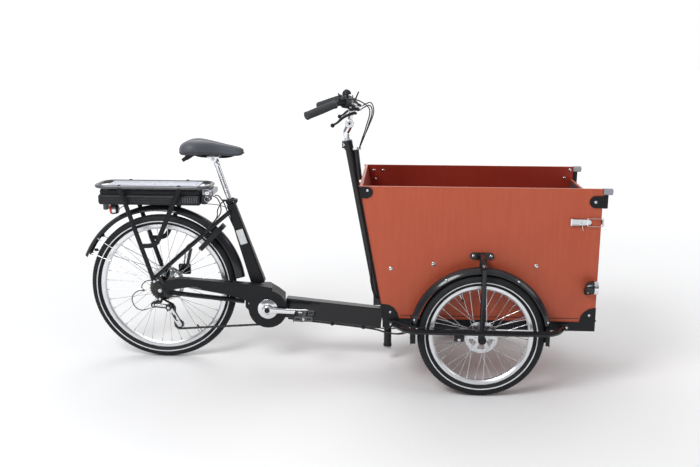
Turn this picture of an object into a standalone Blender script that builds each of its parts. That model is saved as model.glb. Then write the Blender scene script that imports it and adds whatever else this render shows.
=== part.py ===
"""Three-wheeled electric cargo bicycle with a plywood load box between two steered front wheels.

Frame: +X runs forward, +Y is the rider's left, +Z is up, the ground is Z = 0 and the origin lies
under the middle of the machine. Lengths are metres. Every x in the code is measured from the rear
axle, and AXLE_X moves it into the frame.
"""

import math

import bmesh
import bpy
from mathutils import Matrix, Vector

# ---- driving dimensions --------------------------------------------------------------------------
AXLE_X = -0.7718          # rear axle in the frame
REAR_R = 0.330            # 26 inch rear tyre
FRONT_R = 0.256           # 20 inch front tyres
WHEELBASE = 1.387
WHEEL_Y = 0.370           # half of the front track
REAR_RIM = (0.264, 0.286)
FRONT_RIM = (0.190, 0.209)
PIVOT_X = 1.009           # vertical steering axis
CRANK = (0.480, 0.2555)   # bottom bracket, x and z
CRANK_LEN = 0.170
CHAIN_Y = -0.056
POST_LEAN = math.radians(18.0)
POST_TOP = (0.3125, 0.714)     # top of the seat tube on its axis
STEER_TOP = (0.829, 0.978)     # middle of the steering post's collar
STEER_SLOPE = 0.1935           # its lean, metres back for each metre up
BOX_TOP = 0.848
BOX_BOTTOM = 0.300
BOX_FRONT = 1.851
BOX_REAR_TOP = 0.892
BOX_REAR_BOTTOM = 0.9945
BOX_Y = 0.310             # outer face of a side panel
PLY = 0.012
DOOR_TOP = 0.790
DOOR_HINGE = (1.856, 0.300)
GUARD_Y = 0.428           # outer guard bars, centre line
GAP = 0.0003

COLOURS = {
    "frame_black": ((0.030, 0.031, 0.034), 0.38, 0.0),
    "tyre": ((0.024, 0.025, 0.027), 0.80, 0.0),
    "rim": ((0.83, 0.83, 0.84), 0.28, 1.0),
    "steel": ((0.70, 0.72, 0.74), 0.25, 1.0),
    "chain": ((0.20, 0.20, 0.21), 0.40, 1.0),
    "plywood": ((0.435, 0.080, 0.036), 0.45, 0.0),
    "black_plastic": ((0.028, 0.028, 0.030), 0.45, 0.0),
    "rubber": ((0.050, 0.052, 0.056), 0.70, 0.0),
    "saddle": ((0.045, 0.046, 0.050), 0.55, 0.0),
    "plate": ((0.72, 0.74, 0.86), 0.35, 0.6),
    "lamp": ((0.60, 0.10, 0.08), 0.15, 0.0),
    "lens": ((0.55, 0.57, 0.60), 0.12, 0.0),
    "alloy": ((0.75, 0.78, 0.81), 0.22, 1.0),
}

PARTS = None
HELPERS = None
MATERIALS = {}


# ---- scene and helpers ---------------------------------------------------------------------------
def clear_scene():
    for obj in list(bpy.data.objects):
        bpy.data.objects.remove(obj, do_unlink=True)


def make_collections():
    global PARTS, HELPERS
    PARTS = bpy.data.collections.new("cargo_bicycle")
    HELPERS = bpy.data.collections.new("helpers")
    for coll in (PARTS, HELPERS):
        bpy.context.scene.collection.children.link(coll)
    for name, (rgb, rough, metal) in COLOURS.items():
        mat = bpy.data.materials.new(name)
        mat.use_nodes = True
        bsdf = mat.node_tree.nodes["Principled BSDF"]
        bsdf.inputs["Base Color"].default_value = (*rgb, 1.0)
        bsdf.inputs["Roughness"].default_value = rough
        bsdf.inputs["Metallic"].default_value = metal
        mat.diffuse_color = (*rgb, 1.0)
        MATERIALS[name] = mat


def helper(mesh):
    obj = bpy.data.objects.new("helper", mesh)
    HELPERS.objects.link(obj)
    return obj


def face_out(bm):
    """Turns the faces of a closed solid outwards."""
    bm.normal_update()
    bmesh.ops.recalc_face_normals(bm, faces=bm.faces)
    if bm.calc_volume(signed=True) < 0:
        bmesh.ops.reverse_faces(bm, faces=bm.faces)


def from_bmesh(bm):
    face_out(bm)
    mesh = bpy.data.meshes.new("helper")
    bm.to_mesh(mesh)
    bm.free()
    return helper(mesh)


def evaluated(obj, weld=1e-5, turn_out=True):
    """The object as one plain mesh in world space, welded and with its faces turned out."""
    graph = bpy.context.evaluated_depsgraph_get()
    mesh = bpy.data.meshes.new_from_object(obj.evaluated_get(graph))
    mesh.transform(obj.matrix_world)
    bm = bmesh.new()
    bm.from_mesh(mesh)
    bmesh.ops.remove_doubles(bm, verts=bm.verts, dist=weld)
    if turn_out:
        face_out(bm)
    bm.to_mesh(mesh)
    bm.free()
    bpy.data.objects.remove(obj, do_unlink=True)
    return helper(mesh)


def volume_of(mesh):
    """The volume inside a mesh, or 0 where it isn't closed."""
    bm = bmesh.new()
    bm.from_mesh(mesh)
    whole = bool(bm.edges) and all(edge.is_manifold for edge in bm.edges)
    volume = bm.calc_volume(signed=True) if whole else 0.0
    bm.free()
    return volume


def block(low, high, bevel=0.0, segments=1):
    """A box between two corners, with its edges rounded by bevel."""
    low, high = Vector(low), Vector(high)
    bm = bmesh.new()
    bmesh.ops.create_cube(bm, size=1.0)
    bmesh.ops.scale(bm, vec=high - low, verts=bm.verts)
    bmesh.ops.translate(bm, vec=(low + high) / 2, verts=bm.verts)
    bm.normal_update()
    if bevel:
        bmesh.ops.bevel(bm, geom=bm.edges[:], offset=bevel, segments=segments, affect="EDGES",
                        profile=0.5)
    return from_bmesh(bm)


def bar(start, end, width, height, taper=(1.0, 1.0), bevel=0.0):
    """A rectangular bar along a line. width runs along Y, height across it, taper scales its end."""
    start, end = Vector(start), Vector(end)
    along = (end - start).normalized()
    side = Vector((0, 1, 0))
    side = (side - along * side.dot(along)).normalized()
    up = along.cross(side)
    bm = bmesh.new()
    bmesh.ops.create_cube(bm, size=1.0)
    for vert in bm.verts:
        x, y, z = vert.co
        if x > 0:
            y, z = y * taper[0], z * taper[1]
        vert.co = (start + end) / 2 + along * x * (end - start).length + side * y * width + up * z * height
    bm.normal_update()
    if bevel:
        bmesh.ops.bevel(bm, geom=bm.edges[:], offset=bevel, segments=1, affect="EDGES", profile=0.5)
    return from_bmesh(bm)


def rod(start, end, radius, end_radius=None, sides=12):
    """A round bar or cone between two points."""
    start, end = Vector(start), Vector(end)
    bm = bmesh.new()
    bmesh.ops.create_cone(bm, cap_ends=True, segments=sides, radius1=radius,
                          radius2=radius if end_radius is None else end_radius,
                          depth=(end - start).length)
    turn = (end - start).to_track_quat("Z", "Y").to_matrix().to_4x4()
    bmesh.ops.transform(bm, matrix=Matrix.Translation((start + end) / 2) @ turn, verts=bm.verts)
    return from_bmesh(bm)


def rounded(points, radius, steps=3):
    """The points of a path with each inner corner replaced by an arc."""
    points = [Vector(p) for p in points]
    path = [points[0]]
    for before, here, after in zip(points, points[1:], points[2:]):
        a, b = before - here, after - here
        half = a.angle(b) / 2
        reach = min(radius / math.tan(half), 0.45 * a.length, 0.45 * b.length)
        start, end = here + a.normalized() * reach, here + b.normalized() * reach
        for i in range(steps + 1):
            t = i / steps
            path.append(start * (1 - t) ** 2 + here * 2 * t * (1 - t) + end * t ** 2)
    return path + [points[-1]]


def tube(points, radius, resolution=3, closed=False):
    """A round tube or wire along a path."""
    curve = bpy.data.curves.new("helper", "CURVE")
    curve.dimensions = "3D"
    curve.bevel_depth = radius
    curve.bevel_resolution = resolution
    curve.use_fill_caps = True
    spline = curve.splines.new("POLY")
    spline.points.add(len(points) - 1)
    for point, place in zip(spline.points, points):
        point.co = (*place, 1.0)
    spline.use_cyclic_u = closed
    obj = helper(curve)
    bpy.context.view_layer.update()
    return evaluated(obj)


def plate(outlines, y0, y1):
    """Flat outlines in the XZ plane, the later ones as holes, as a solid from y0 to y1."""
    curve = bpy.data.curves.new("helper", "CURVE")
    curve.dimensions = "2D"
    curve.fill_mode = "BOTH"
    curve.extrude = abs(y1 - y0) / 2
    for outline in outlines:
        spline = curve.splines.new("POLY")
        spline.points.add(len(outline) - 1)
        for point, (x, z) in zip(spline.points, outline):
            point.co = (x, z, 0.0, 1.0)
        spline.use_cyclic_u = True
    obj = helper(curve)
    obj.matrix_world = Matrix.Translation((0, (y0 + y1) / 2, 0)) @ Matrix.Rotation(math.pi / 2, 4, "X")
    bpy.context.view_layer.update()
    return evaluated(obj)


def turned(profile, centre, steps=24, closed=False, axis="Y", arc=None, thickness=0.0, start=0.0):
    """A profile of (radius, height) points turned about an axis through centre.

    closed joins its last point to its first, arc turns it through part of a circle from the angle
    start, and thickness makes a shell of it.
    """
    bm = bmesh.new()
    verts = [bm.verts.new((r * math.cos(start), r * math.sin(start), h)) for r, h in profile]
    for a, b in zip(verts, verts[1:] + (verts[:1] if closed else [])):
        bm.edges.new((a, b))
    mesh = bpy.data.meshes.new("helper")
    bm.to_mesh(mesh)
    bm.free()
    obj = helper(mesh)
    screw = obj.modifiers.new("Screw", "SCREW")
    screw.angle = arc if arc else 2 * math.pi
    screw.steps = screw.render_steps = steps
    screw.use_merge_vertices = True
    screw.merge_threshold = 1e-5
    if thickness:
        shell = obj.modifiers.new("Solidify", "SOLIDIFY")
        shell.thickness = thickness
        shell.offset = 0.0
    turn = {"Y": Matrix.Rotation(math.pi / 2, 4, "X"), "X": Matrix.Rotation(math.pi / 2, 4, "Y"),
            "Z": Matrix.Identity(4)}[axis]
    obj.matrix_world = Matrix.Translation(centre) @ turn
    bpy.context.view_layer.update()
    return evaluated(obj)


def boolean(base, others, operation):
    """One solid from a base and the helpers joined to it or cut from it. The exact solver is tried
    first, and the manifold one where its result isn't closed or has lost volume."""
    sizes = [volume_of(obj.data) for obj in [base, *others]]
    least = max(sizes) if operation == "UNION" else 0.2 * sizes[0]
    for solver, weld in (("EXACT", 2e-6), ("EXACT", 2e-5), ("MANIFOLD", 2e-6), ("MANIFOLD", 2e-5)):
        trial = helper(base.data.copy())
        for other in others:
            tool = trial.modifiers.new("Boolean", "BOOLEAN")
            tool.operation = operation
            tool.solver = solver
            tool.object = other
        bpy.context.view_layer.update()
        result = evaluated(trial, weld, turn_out=False)
        if 0.999 * least < volume_of(result.data) <= 1.001 * sum(sizes):
            break
    for obj in [base, *others]:
        bpy.data.objects.remove(obj, do_unlink=True)
    return result


def join(*solids):
    return boolean(solids[0], list(solids[1:]), "UNION")


def cut(base, *cutters):
    return boolean(base, list(cutters), "DIFFERENCE")


def mirrored(obj):
    """A copy of a helper on the other side of the plane Y = 0."""
    mesh = obj.data.copy()
    mesh.transform(Matrix.Scale(-1, 4, (0, 1, 0)))
    mesh.flip_normals()
    return helper(mesh)


def part(name, solid, material, origin=(0.0, 0.0, 0.0)):
    """Names a finished solid, gives it its material, and puts its origin on its joint's axis."""
    shift = Vector((AXLE_X, 0.0, 0.0))
    place = Vector(origin) + shift
    mesh = solid.data
    mesh.transform(Matrix.Translation(shift - place))
    mesh.name = name
    mesh.materials.clear()
    mesh.materials.append(MATERIALS[material])
    mesh.shade_smooth()
    mesh.set_sharp_from_angle(angle=math.radians(40))
    obj = bpy.data.objects.new(name, mesh)
    obj.location = place
    PARTS.objects.link(obj)
    bpy.data.objects.remove(solid, do_unlink=True)
    return obj


def arc_points(centre, radius, first, last, count):
    """Points on an arc in the XZ plane, from the angle first to last in degrees."""
    return [(centre[0] + radius * math.cos(math.radians(first + (last - first) * i / (count - 1))),
             centre[1] + radius * math.sin(math.radians(first + (last - first) * i / (count - 1))))
            for i in range(count)]


def on_post(distance, y=0.0):
    """A point on the seat tube's axis, distance above its top."""
    return (POST_TOP[0] - distance * math.sin(POST_LEAN), y, POST_TOP[1] + distance * math.cos(POST_LEAN))


def on_steerer(z, y=0.0, forward=0.0):
    """A point on the steering post's axis at height z."""
    return (STEER_TOP[0] - (z - STEER_TOP[1]) * STEER_SLOPE + forward, y, z)


# ---- wheels --------------------------------------------------------------------------------------
def tyre(centre, outer, rim, steps):
    """A hollow tyre, open towards its rim."""
    deep = outer - rim
    half = 0.025
    outside = [(rim + 0.0006, 0.42), (rim + 0.40 * deep, 0.96), (rim + 0.82 * deep, 0.80),
               (outer, 0.28)]
    inside = [(rim + 0.70 * deep, 0.62), (rim + 0.0006, 0.24)]
    profile = [(r, -w * half) for r, w in outside] + [(r, w * half) for r, w in reversed(outside)]
    profile += [(r, w * half) for r, w in reversed(inside)] + [(r, -w * half) for r, w in inside]
    return turned(profile, centre, steps, closed=True)


def wheel(centre, rim, hub, flanges, spokes, steps):
    """Rim, spokes and hub as one solid. hub is a turned profile along Y, the offset of each
    flange is a member of flanges."""
    low, high = rim
    ring = turned([(low, -0.006), (high, -0.0120), (high, -0.0098), (low + 0.006, -0.004),
                   (low + 0.006, 0.004), (high, 0.0098), (high, 0.0120), (low, 0.006)],
                  centre, steps, closed=True)
    solids = [turned(hub, centre, 14)]
    for i in range(spokes):
        angle = 2 * math.pi * (i + 0.5) / spokes
        way = Vector((math.cos(angle), 0, math.sin(angle)))
        foot = Vector(centre) + way * 0.018 + Vector((0, flanges[i % 2], 0))
        tip = Vector(centre) + way * (low + 0.002)
        solids.append(rod(foot, tip, 0.0018, sides=4))
    return join(ring, *solids)


def build_wheels():
    rear = (0.0, 0.0, REAR_R)
    hub = [(0.0, 0.0735), (0.005, 0.0735), (0.005, 0.062), (0.014, 0.062), (0.014, 0.0515),
           (0.080, 0.0512), (0.080, 0.0492), (0.020, 0.049), (0.029, 0.031),
           (0.029, 0.028), (0.019, 0.026), (0.019, -0.026), (0.029, -0.028), (0.029, -0.031),
           (0.0160, -0.033), (0.0160, -0.0645), (0.005, -0.0650), (0.005, -0.0735), (0.0, -0.0735)]
    hub = [(r, -h) for r, h in hub]
    part("rear_tyre", tyre(rear, REAR_R, REAR_RIM[1], 28), "tyre", rear)
    part("rear_wheel", wheel(rear, REAR_RIM, hub, (0.0295, -0.0295), 12, 28), "rim", rear)
    for side, name in ((-1, "right"), (1, "left")):
        centre = (WHEELBASE, side * WHEEL_Y, FRONT_R)
        hub = [(0.0, 0.0450), (0.007, 0.0450), (0.007, 0.034), (0.016, 0.032), (0.016, 0.0282),
               (0.066, 0.0280), (0.066, 0.0262), (0.027, 0.0255),
               (0.027, 0.018), (0.017, 0.016), (0.017, -0.020), (0.027, -0.022), (0.027, -0.025),
               (0.014, -0.027), (0.014, -0.044), (0.007, -0.046), (0.007, -0.0515), (0.0, -0.0515)]
        hub = [(r, -side * h) for r, h in hub]
        part("front_tyre_" + name, tyre(centre, FRONT_R, FRONT_RIM[1], 24), "tyre", centre)
        part("front_wheel_" + name,
             wheel(centre, FRONT_RIM, hub, (-side * 0.0235, side * 0.0195), 10, 24), "rim", centre)


# ---- drive ---------------------------------------------------------------------------------------
def belt(circles, offset, count):
    """Points of a loop around circles of (x, z, radius, turn), turn 1 where it runs
    anticlockwise and -1 where it runs clockwise, moved outwards by offset."""
    sized = [(Vector((x, z)), r + turn * offset, turn) for x, z, r, turn in circles]
    lines = []
    for (c1, r1, s1), (c2, r2, s2) in zip(sized, sized[1:] + sized[:1]):
        way = c2 - c1
        angle = math.atan2(way.y, way.x) - math.asin((s2 * r2 - s1 * r1) / way.length)
        normal = Vector((-math.sin(angle), math.cos(angle)))
        lines.append((c1 - s1 * r1 * normal, c2 - s2 * r2 * normal))
    points = []
    for i, (centre, radius, turn) in enumerate(sized):
        arrive, leave = lines[i - 1][1] - centre, lines[i][0] - centre
        first = math.atan2(arrive.y, arrive.x)
        sweep = (turn * (math.atan2(leave.y, leave.x) - first)) % (2 * math.pi)
        for k in range(count):
            angle = first + turn * sweep * k / (count - 1)
            points.append((centre.x + radius * math.cos(angle), centre.y + radius * math.sin(angle)))
    return points


def build_drive():
    pulleys = ((0.036, 0.243), (0.078, 0.170))
    cassette = [(0.0166, -0.0350), (0.058, -0.0352), (0.058, -0.0400), (0.050, -0.0402),
                (0.050, -0.0450), (0.042, -0.0452), (0.042, -0.0505), (0.0325, -0.0507),
                (0.0325, -0.0608), (0.024, -0.0610), (0.024, -0.0640), (0.0166, -0.0640)]
    part("cassette", turned([(r, -h) for r, h in cassette], (0, 0, REAR_R), 20, closed=True),
         "chain", (0, 0, REAR_R))
    loop = [(*CRANK, 0.0775, 1), (0.0, REAR_R, 0.0375, 1), (*pulleys[0], 0.0222, -1),
            (*pulleys[1], 0.0222, 1)]
    part("chain", plate([belt(loop, 0.0034, 9), belt(loop, -0.0034, 9)],
                        CHAIN_Y - 0.0036, CHAIN_Y + 0.0036), "chain")
    solids = [rod((x, CHAIN_Y - 0.002, z), (x, CHAIN_Y + 0.002, z), 0.0184, sides=14)
              for x, z in pulleys]
    solids += [rod((x, -0.066, z), (x, CHAIN_Y + 0.004, z), 0.005, sides=8) for x, z in pulleys]
    solids.append(bar((0.028, -0.0645, 0.257), (0.086, -0.0645, 0.156), 0.003, 0.016))
    solids.append(bar((0.030, -0.0740, 0.256), (0.002, -0.0880, 0.288), 0.020, 0.024, bevel=0.004))
    solids.append(rod((0.036, -0.064, 0.243), (0.036, -0.084, 0.243), 0.014, sides=10))
    solids.append(bar((0.006, -0.0790, 0.296), (-0.004, -0.0790, 0.268), 0.008, 0.020))
    part("derailleur", join(*solids), "black_plastic")

    axle = Vector((CRANK[0], 0, CRANK[1]))
    drop = math.radians(2.0)
    ahead = Vector((math.cos(drop), 0, -math.sin(drop))) * CRANK_LEN
    solids = [rod(axle + Vector((0, -0.104, 0)), axle + Vector((0, 0.104, 0)), 0.0100),
              rod(axle + Vector((0, CHAIN_Y - 0.002, 0)), axle + Vector((0, CHAIN_Y + 0.002, 0)),
                  0.0715, sides=28),
              rod(axle + Vector((0, -0.0845, 0)), axle + Vector((0, CHAIN_Y, 0)), 0.0452, sides=20)]
    for side in (-1, 1):
        way = ahead * (1 if side < 0 else -1)
        y = side * 0.098
        near = axle + Vector((0, y, 0))
        solids.append(bar(near - way * 0.10, near + way * 1.08, 0.014, 0.034, taper=(1, 0.62),
                          bevel=0.004))
        solids.append(rod(near + way + Vector((0, side * 0.004, 0)),
                          near + way + Vector((0, side * 0.093, 0)), 0.0055, sides=8))
    part("crankset", join(*solids), "alloy", axle)
    for side, name in ((-1, "right"), (1, "left")):
        at = axle + ahead * (1 if side < 0 else -1) + Vector((0, side * 0.153, 0))
        body = join(block(at - Vector((0.012, 0.045, 0.012)), at + Vector((0.012, 0.045, 0.012)),
                          0.003),
                    *[block(at + Vector((dx - 0.005, -0.047, -0.014)),
                            at + Vector((dx + 0.005, 0.047, 0.014)), 0.002) for dx in (-0.040, 0.040)],
                    *[block(at + Vector((-0.040, dy - 0.004, -0.010)),
                            at + Vector((0.040, dy + 0.004, 0.010))) for dy in (-0.038, 0.038)])
        body = cut(body, rod(at - Vector((0, 0.06, 0)), at + Vector((0, 0.06, 0)), 0.0062, sides=10))
        part("pedal_" + name, body, "black_plastic", at)

    outer, inner = 0.0860, 0.0835
    top = [(0.500, 0.3535), (0.400, 0.3680), (0.200, 0.3815), (0.090, 0.3880), (0.030, 0.3780)]
    front = arc_points(CRANK, outer, -90, 76, 13)
    back = arc_points(CRANK, outer, 158, 270, 9)
    cover = front + top + [(0.012, 0.350), (0.030, 0.332), (0.150, 0.352), (0.318, 0.314)] + back[:-1]
    hole = arc_points(CRANK, 0.0470, 0, 342, 20)
    side = plate([cover, hole], -0.0830, -0.0800)
    inner_front = arc_points(CRANK, inner, -90, 76, 13)
    lip = front + top + [(x, z - 0.0025) for x, z in reversed(top)] + inner_front[::-1]
    part("chain_guard", join(side, plate([lip], -0.0815, -0.0480)), "frame_black")


# ---- main frame ----------------------------------------------------------------------------------
def build_frame():
    start, end = Vector((0.5500, 0, 0.2442)), Vector((0.9830, 0, 0.2022))
    beam = bar(start, end, 0.050, 0.090, bevel=0.004)
    way = (end - start).normalized() * 0.02
    part("main_beam", cut(beam, bar(start - way, end + way, 0.0435, 0.0835, bevel=0.002)), "frame_black")

    head = join(rod((PIVOT_X, 0, 0.0760), (PIVOT_X, 0, 0.2570), 0.0170, sides=20),
                rod((PIVOT_X, 0, 0.0690), (PIVOT_X, 0, 0.0780), 0.0190, sides=20),
                block((0.9860, -0.025, 0.1600), (PIVOT_X, 0.025, 0.2440), 0.004))
    part("head_tube", cut(head, rod((PIVOT_X, 0, 0.05), (PIVOT_X, 0, 0.28), 0.0130, sides=20)),
         "frame_black", (PIVOT_X, 0, 0.16))

    shell = [(0.3750, 0.2500), (0.3750, 0.3000), (0.3950, 0.3440), (0.4750, 0.3440), (0.5150, 0.3200),
             (0.5440, 0.2970), (0.5440, 0.1985)] + arc_points(CRANK, 0.078, -35, -125, 6)
    motor = plate([shell], -0.0460, 0.0460)
    boss = rod((CRANK[0], 0.040, CRANK[1]), (CRANK[0], 0.0700, CRANK[1]), 0.0600, sides=24)
    part("motor_housing", cut(join(motor, boss), rod((CRANK[0], -0.1, CRANK[1]),
                                                     (CRANK[0], 0.1, CRANK[1]), 0.0106, sides=16)),
         "black_plastic")

    seat = bar(on_post(-0.382), on_post(0.0), 0.046, 0.062, taper=(0.80, 0.60), bevel=0.005)
    seat = cut(seat, block((0.36, -0.04, 0.30), (0.50, 0.04, 0.3445)),
               rod(on_post(-0.300), on_post(0.02), 0.0129, sides=16))
    part("seat_tube", seat, "frame_black")
    collar = join(rod(on_post(0.0006), on_post(0.0200), 0.0205, sides=18),
                  block((0.3180, -0.0100, 0.7200), (0.3420, 0.0100, 0.7320)))
    part("seat_collar", cut(collar, rod(on_post(-0.02), on_post(0.05), 0.0129, sides=16)),
         "black_plastic")
    lever = join(block((0.2800, -0.0295, 0.7255), (0.3400, -0.0235, 0.7345), 0.0015),
                 rod((0.3380, -0.0263, 0.7190), (0.3380, -0.0263, 0.7350), 0.0065, sides=10))
    part("seat_lever", lever, "steel", (0.3380, -0.0265, 0.7270))

    for side, name in ((-1, "right"), (1, "left")):
        drop = [(-0.040, 0.380), (-0.034, 0.395), (-0.012, 0.402), (0.012, 0.380), (0.034, 0.342),
                (0.060, 0.330), (0.060, 0.310), (0.020, 0.300), (-0.014, 0.312), (-0.022, 0.335)]
        plate_y = sorted((side * 0.0680, side * 0.0735))
        solids = [plate([drop, arc_points((0, REAR_R), 0.0056, 0, 324, 10)], *plate_y),
                  tube([(0.036, side * 0.0690, 0.3210), (0.100, side * 0.0660, 0.3125),
                        (0.300, side * 0.0450, 0.2860), (0.3705, side * 0.0400, 0.2770)], 0.0110),
                  tube([(-0.022, side * 0.0690, 0.3870), (0.150, side * 0.0590, 0.5390),
                        (0.240, side * 0.0480, 0.6190), (0.3130, side * 0.0330, 0.6800)], 0.0090)]
        if side > 0:
            solids.append(block((0.052, 0.0540, 0.3700), (0.108, 0.0700, 0.4180), 0.004))
            solids.append(bar((0.090, 0.0600, 0.4000), (0.112, 0.0600, 0.4900), 0.010, 0.014))
        part("stays_" + name, join(*solids), "frame_black")

    # rear mudguard: a rounded channel about the axle, with two wire stays on each side
    section = [(0.3530, -0.0300), (0.3650, -0.0250), (0.3710, -0.0080), (0.3710, 0.0080),
               (0.3650, 0.0250), (0.3530, 0.0300)]
    guard = turned(section, (0, 0, REAR_R), 18, arc=math.radians(150), thickness=0.0020,
                   start=math.radians(8))
    part("rear_mudguard", guard, "black_plastic")


def build_seat():
    post = rod(on_post(-0.180), on_post(0.172), 0.0125, sides=16)
    part("seat_post", post, "steel", on_post(0.0))
    rails = [tube(rounded([(0.150, y, 0.9350), (0.185, y, 0.9220), (0.300, y * 0.9, 0.9180),
                           (0.348, y * 0.6, 0.9300)], 0.02, 1), 0.0035, 1) for y in (-0.022, 0.022)]
    clamp = block((0.2160, -0.0270, 0.9000), (0.2740, 0.0270, 0.9240), 0.004)
    lower = block((0.2300, -0.0190, 0.8800), (0.2640, 0.0190, 0.9010), 0.003)
    part("saddle_rails", join(clamp, lower, *rails), "black_plastic")
    bm = bmesh.new()
    rings = []
    for x, half, top, low in ((0.102, 0.050, 0.966, 0.944), (0.122, 0.086, 0.984, 0.934),
                              (0.170, 0.094, 0.994, 0.9475), (0.235, 0.060, 0.985, 0.9500),
                              (0.300, 0.032, 0.968, 0.9440), (0.352, 0.024, 0.957, 0.9370),
                              (0.376, 0.014, 0.948, 0.9350)):
        mid = 0.35 * top + 0.65 * low
        ring = [(0.0, low), (-0.8 * half, low), (-half, mid), (-0.7 * half, 0.8 * top + 0.2 * low),
                (0.0, top), (0.7 * half, 0.8 * top + 0.2 * low), (half, mid), (0.8 * half, low)]
        rings.append([bm.verts.new((x, y, z)) for y, z in ring])
    for a, b in zip(rings, rings[1:]):
        for i in range(8):
            bm.faces.new((a[i], a[(i + 1) % 8], b[(i + 1) % 8], b[i]))
    bm.faces.new(rings[0])
    bm.faces.new(rings[-1])
    part("saddle", from_bmesh(bm), "saddle")


# ---- carrier and electrics -----------------------------------------------------------------------
def build_carrier():
    corner, z = 0.050, 0.7920
    loop = []
    for cx, cy, first in ((0.228 - corner, 0.080 - corner, 0), (-0.272 + corner, 0.080 - corner, 90),
                          (-0.272 + corner, corner - 0.080, 180), (0.228 - corner, corner - 0.080, 270)):
        for i in range(4):
            angle = math.radians(first + 30 * i)
            loop.append((cx + corner * math.cos(angle), cy + corner * math.sin(angle), z))
    solids = [tube(loop, 0.0080, 2, closed=True)]
    for side in (-1, 1):
        y = side * 0.0832
        solids.append(bar((-0.156, y, 0.7900), (-0.022, y, 0.3720), 0.0080, 0.0240))
        solids.append(bar((0.104, y, 0.7900), (-0.006, y, 0.5360), 0.0080, 0.0220))
        solids.append(bar((0.000, y, 0.5410), (-0.084, y, 0.5310), 0.0080, 0.0200))
    part("carrier_frame", join(*solids), "frame_black")
    top = block((-0.2500, -0.0600, 0.7870), (0.2020, 0.0600, 0.7960), 0.0030)
    web = block((0.1920, -0.0500, 0.7790), (0.2015, 0.0500, 0.7900))
    dock = block((0.1920, -0.0600, 0.7130), (0.2480, 0.0600, 0.7810), 0.0060)
    part("carrier_plate", join(top, web, dock), "plate")
    battery = join(block((-0.2620, -0.0640, 0.7100), (0.1900, 0.0640, 0.7560), 0.0100, 2),
                   block((-0.2560, -0.0520, 0.7500), (0.1880, 0.0520, 0.7780), 0.0060),
                   block((-0.2560, -0.0180, 0.6780), (-0.2360, 0.0180, 0.7140), 0.0040))
    part("battery", battery, "black_plastic", (-0.262, 0, 0.740))
    part("tail_lamp", turned([(0.0, 0.0210), (0.018, 0.0200), (0.0235, 0.0120), (0.0240, -0.0180),
                              (0.0, -0.0180)], (-0.2110, 0, 0.6800), 16, axis="X"), "lamp")

    # frame lock: a horseshoe around the tyre, in a plane along the seat stays
    legs = [(0.258, 0.0365), (0.258, 0.0560), (0.300, 0.0600), (0.370, 0.0580), (0.394, 0.0400),
            (0.399, 0.0)]
    inside = [(0.379, 0.0), (0.375, 0.0250), (0.355, 0.0365)]
    outline = legs[:-1] + [(s, -y) for s, y in reversed(legs)] \
        + [(s, -y) for s, y in reversed(inside)] + inside[1:]
    lock = plate([outline], -0.0110, 0.0110)
    slope = math.radians(45.5)
    basis = Matrix(((math.cos(slope), -math.sin(slope), 0, 0.0), (0, 0, 1, 0),
                    (math.sin(slope), math.cos(slope), 0, REAR_R), (0, 0, 0, 1)))
    lock.data.transform(basis)
    part("ring_lock", join(from_mesh_copy(lock)), "black_plastic")


def from_mesh_copy(obj):
    """The same solid with its faces turned out again after a change of axes."""
    bm = bmesh.new()
    bm.from_mesh(obj.data)
    bpy.data.objects.remove(obj, do_unlink=True)
    return from_bmesh(bm)


# ---- load box and front chassis ------------------------------------------------------------------
def rear_edge(z):
    """x of the box's leaning rear edge at height z."""
    return BOX_REAR_BOTTOM + (BOX_REAR_TOP - BOX_REAR_BOTTOM) * (z - BOX_BOTTOM) / (BOX_TOP - BOX_BOTTOM)


def build_chassis():
    solids = []
    for side in (-1, 1):
        y0, y1 = sorted((side * 0.2860, side * 0.3135))
        solids.append(block((0.9900, y0, 0.2620), (1.8520, y1, 0.2995)))
        f0, f1 = sorted((side * 0.3104, side * 0.3135))
        rear = [(0.9890, 0.290), (1.0560, 0.290), (1.0560, 0.3000), (1.0500, 0.3250), (1.0360, 0.3450),
                (1.0160, 0.3570), (rear_edge(0.361) - 0.0030, 0.3610)]
        solids.append(plate([rear], f0, f1))
        front = [(1.8520, 0.290), (1.8520, 0.3610), (1.8260, 0.3560), (1.8060, 0.3430), (1.7930, 0.3240),
                 (1.7880, 0.3000), (1.7880, 0.290)]
        solids.append(plate([front], f0, f1))
        strip = [(rear_edge(0.290) - 0.0040, 0.2900), (rear_edge(0.290) - 0.0006, 0.2900),
                 (rear_edge(BOX_TOP) - 0.0006, BOX_TOP), (rear_edge(BOX_TOP) - 0.0040, BOX_TOP)]
        solids.append(plate([strip], y0, y1))
        tab = [(rear_edge(0.800) - 0.0020, 0.800), (rear_edge(0.846) - 0.0020, 0.846),
               (0.926, 0.846)] + arc_points((0.924, 0.824), 0.0220, 80, -80, 6) + [(0.926, 0.800)]
        solids.append(plate([tab], f0, f1))
        e0, e1 = sorted((side * 0.3000, side * 0.3170))
        solids.append(block((1.3600, e0, 0.2340), (1.4140, e1, 0.2700), 0.003))
        a0, a1 = sorted((side * 0.2600, side * 0.2850))
        solids.append(block((1.1800, a0, 0.2440), (1.3950, a1, 0.2640)))
    solids.append(block((0.9900, -0.2900, 0.2625), (1.0300, 0.2900, 0.2990)))
    solids.append(block((1.8120, -0.2900, 0.2625), (1.8510, 0.2900, 0.2990)))
    solids.append(block((1.3700, -0.3050, 0.2380), (1.4050, 0.3050, 0.2985)))
    solids.append(block((1.0200, -0.0200, 0.2630), (1.3800, 0.0200, 0.2980)))
    part("front_chassis", join(*solids), "frame_black", (PIVOT_X, 0, 0.28))
    pin = [(0.0, 0.2612), (0.0260, 0.2612), (0.0260, 0.2580), (0.0125, 0.2576), (0.0125, 0.0680),
           (0.0170, 0.0678), (0.0170, 0.0600), (0.0, 0.0600)]
    part("king_pin", turned(pin, (PIVOT_X, 0, 0), 20, axis="Z"), "steel", (PIVOT_X, 0, 0.16))


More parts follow.
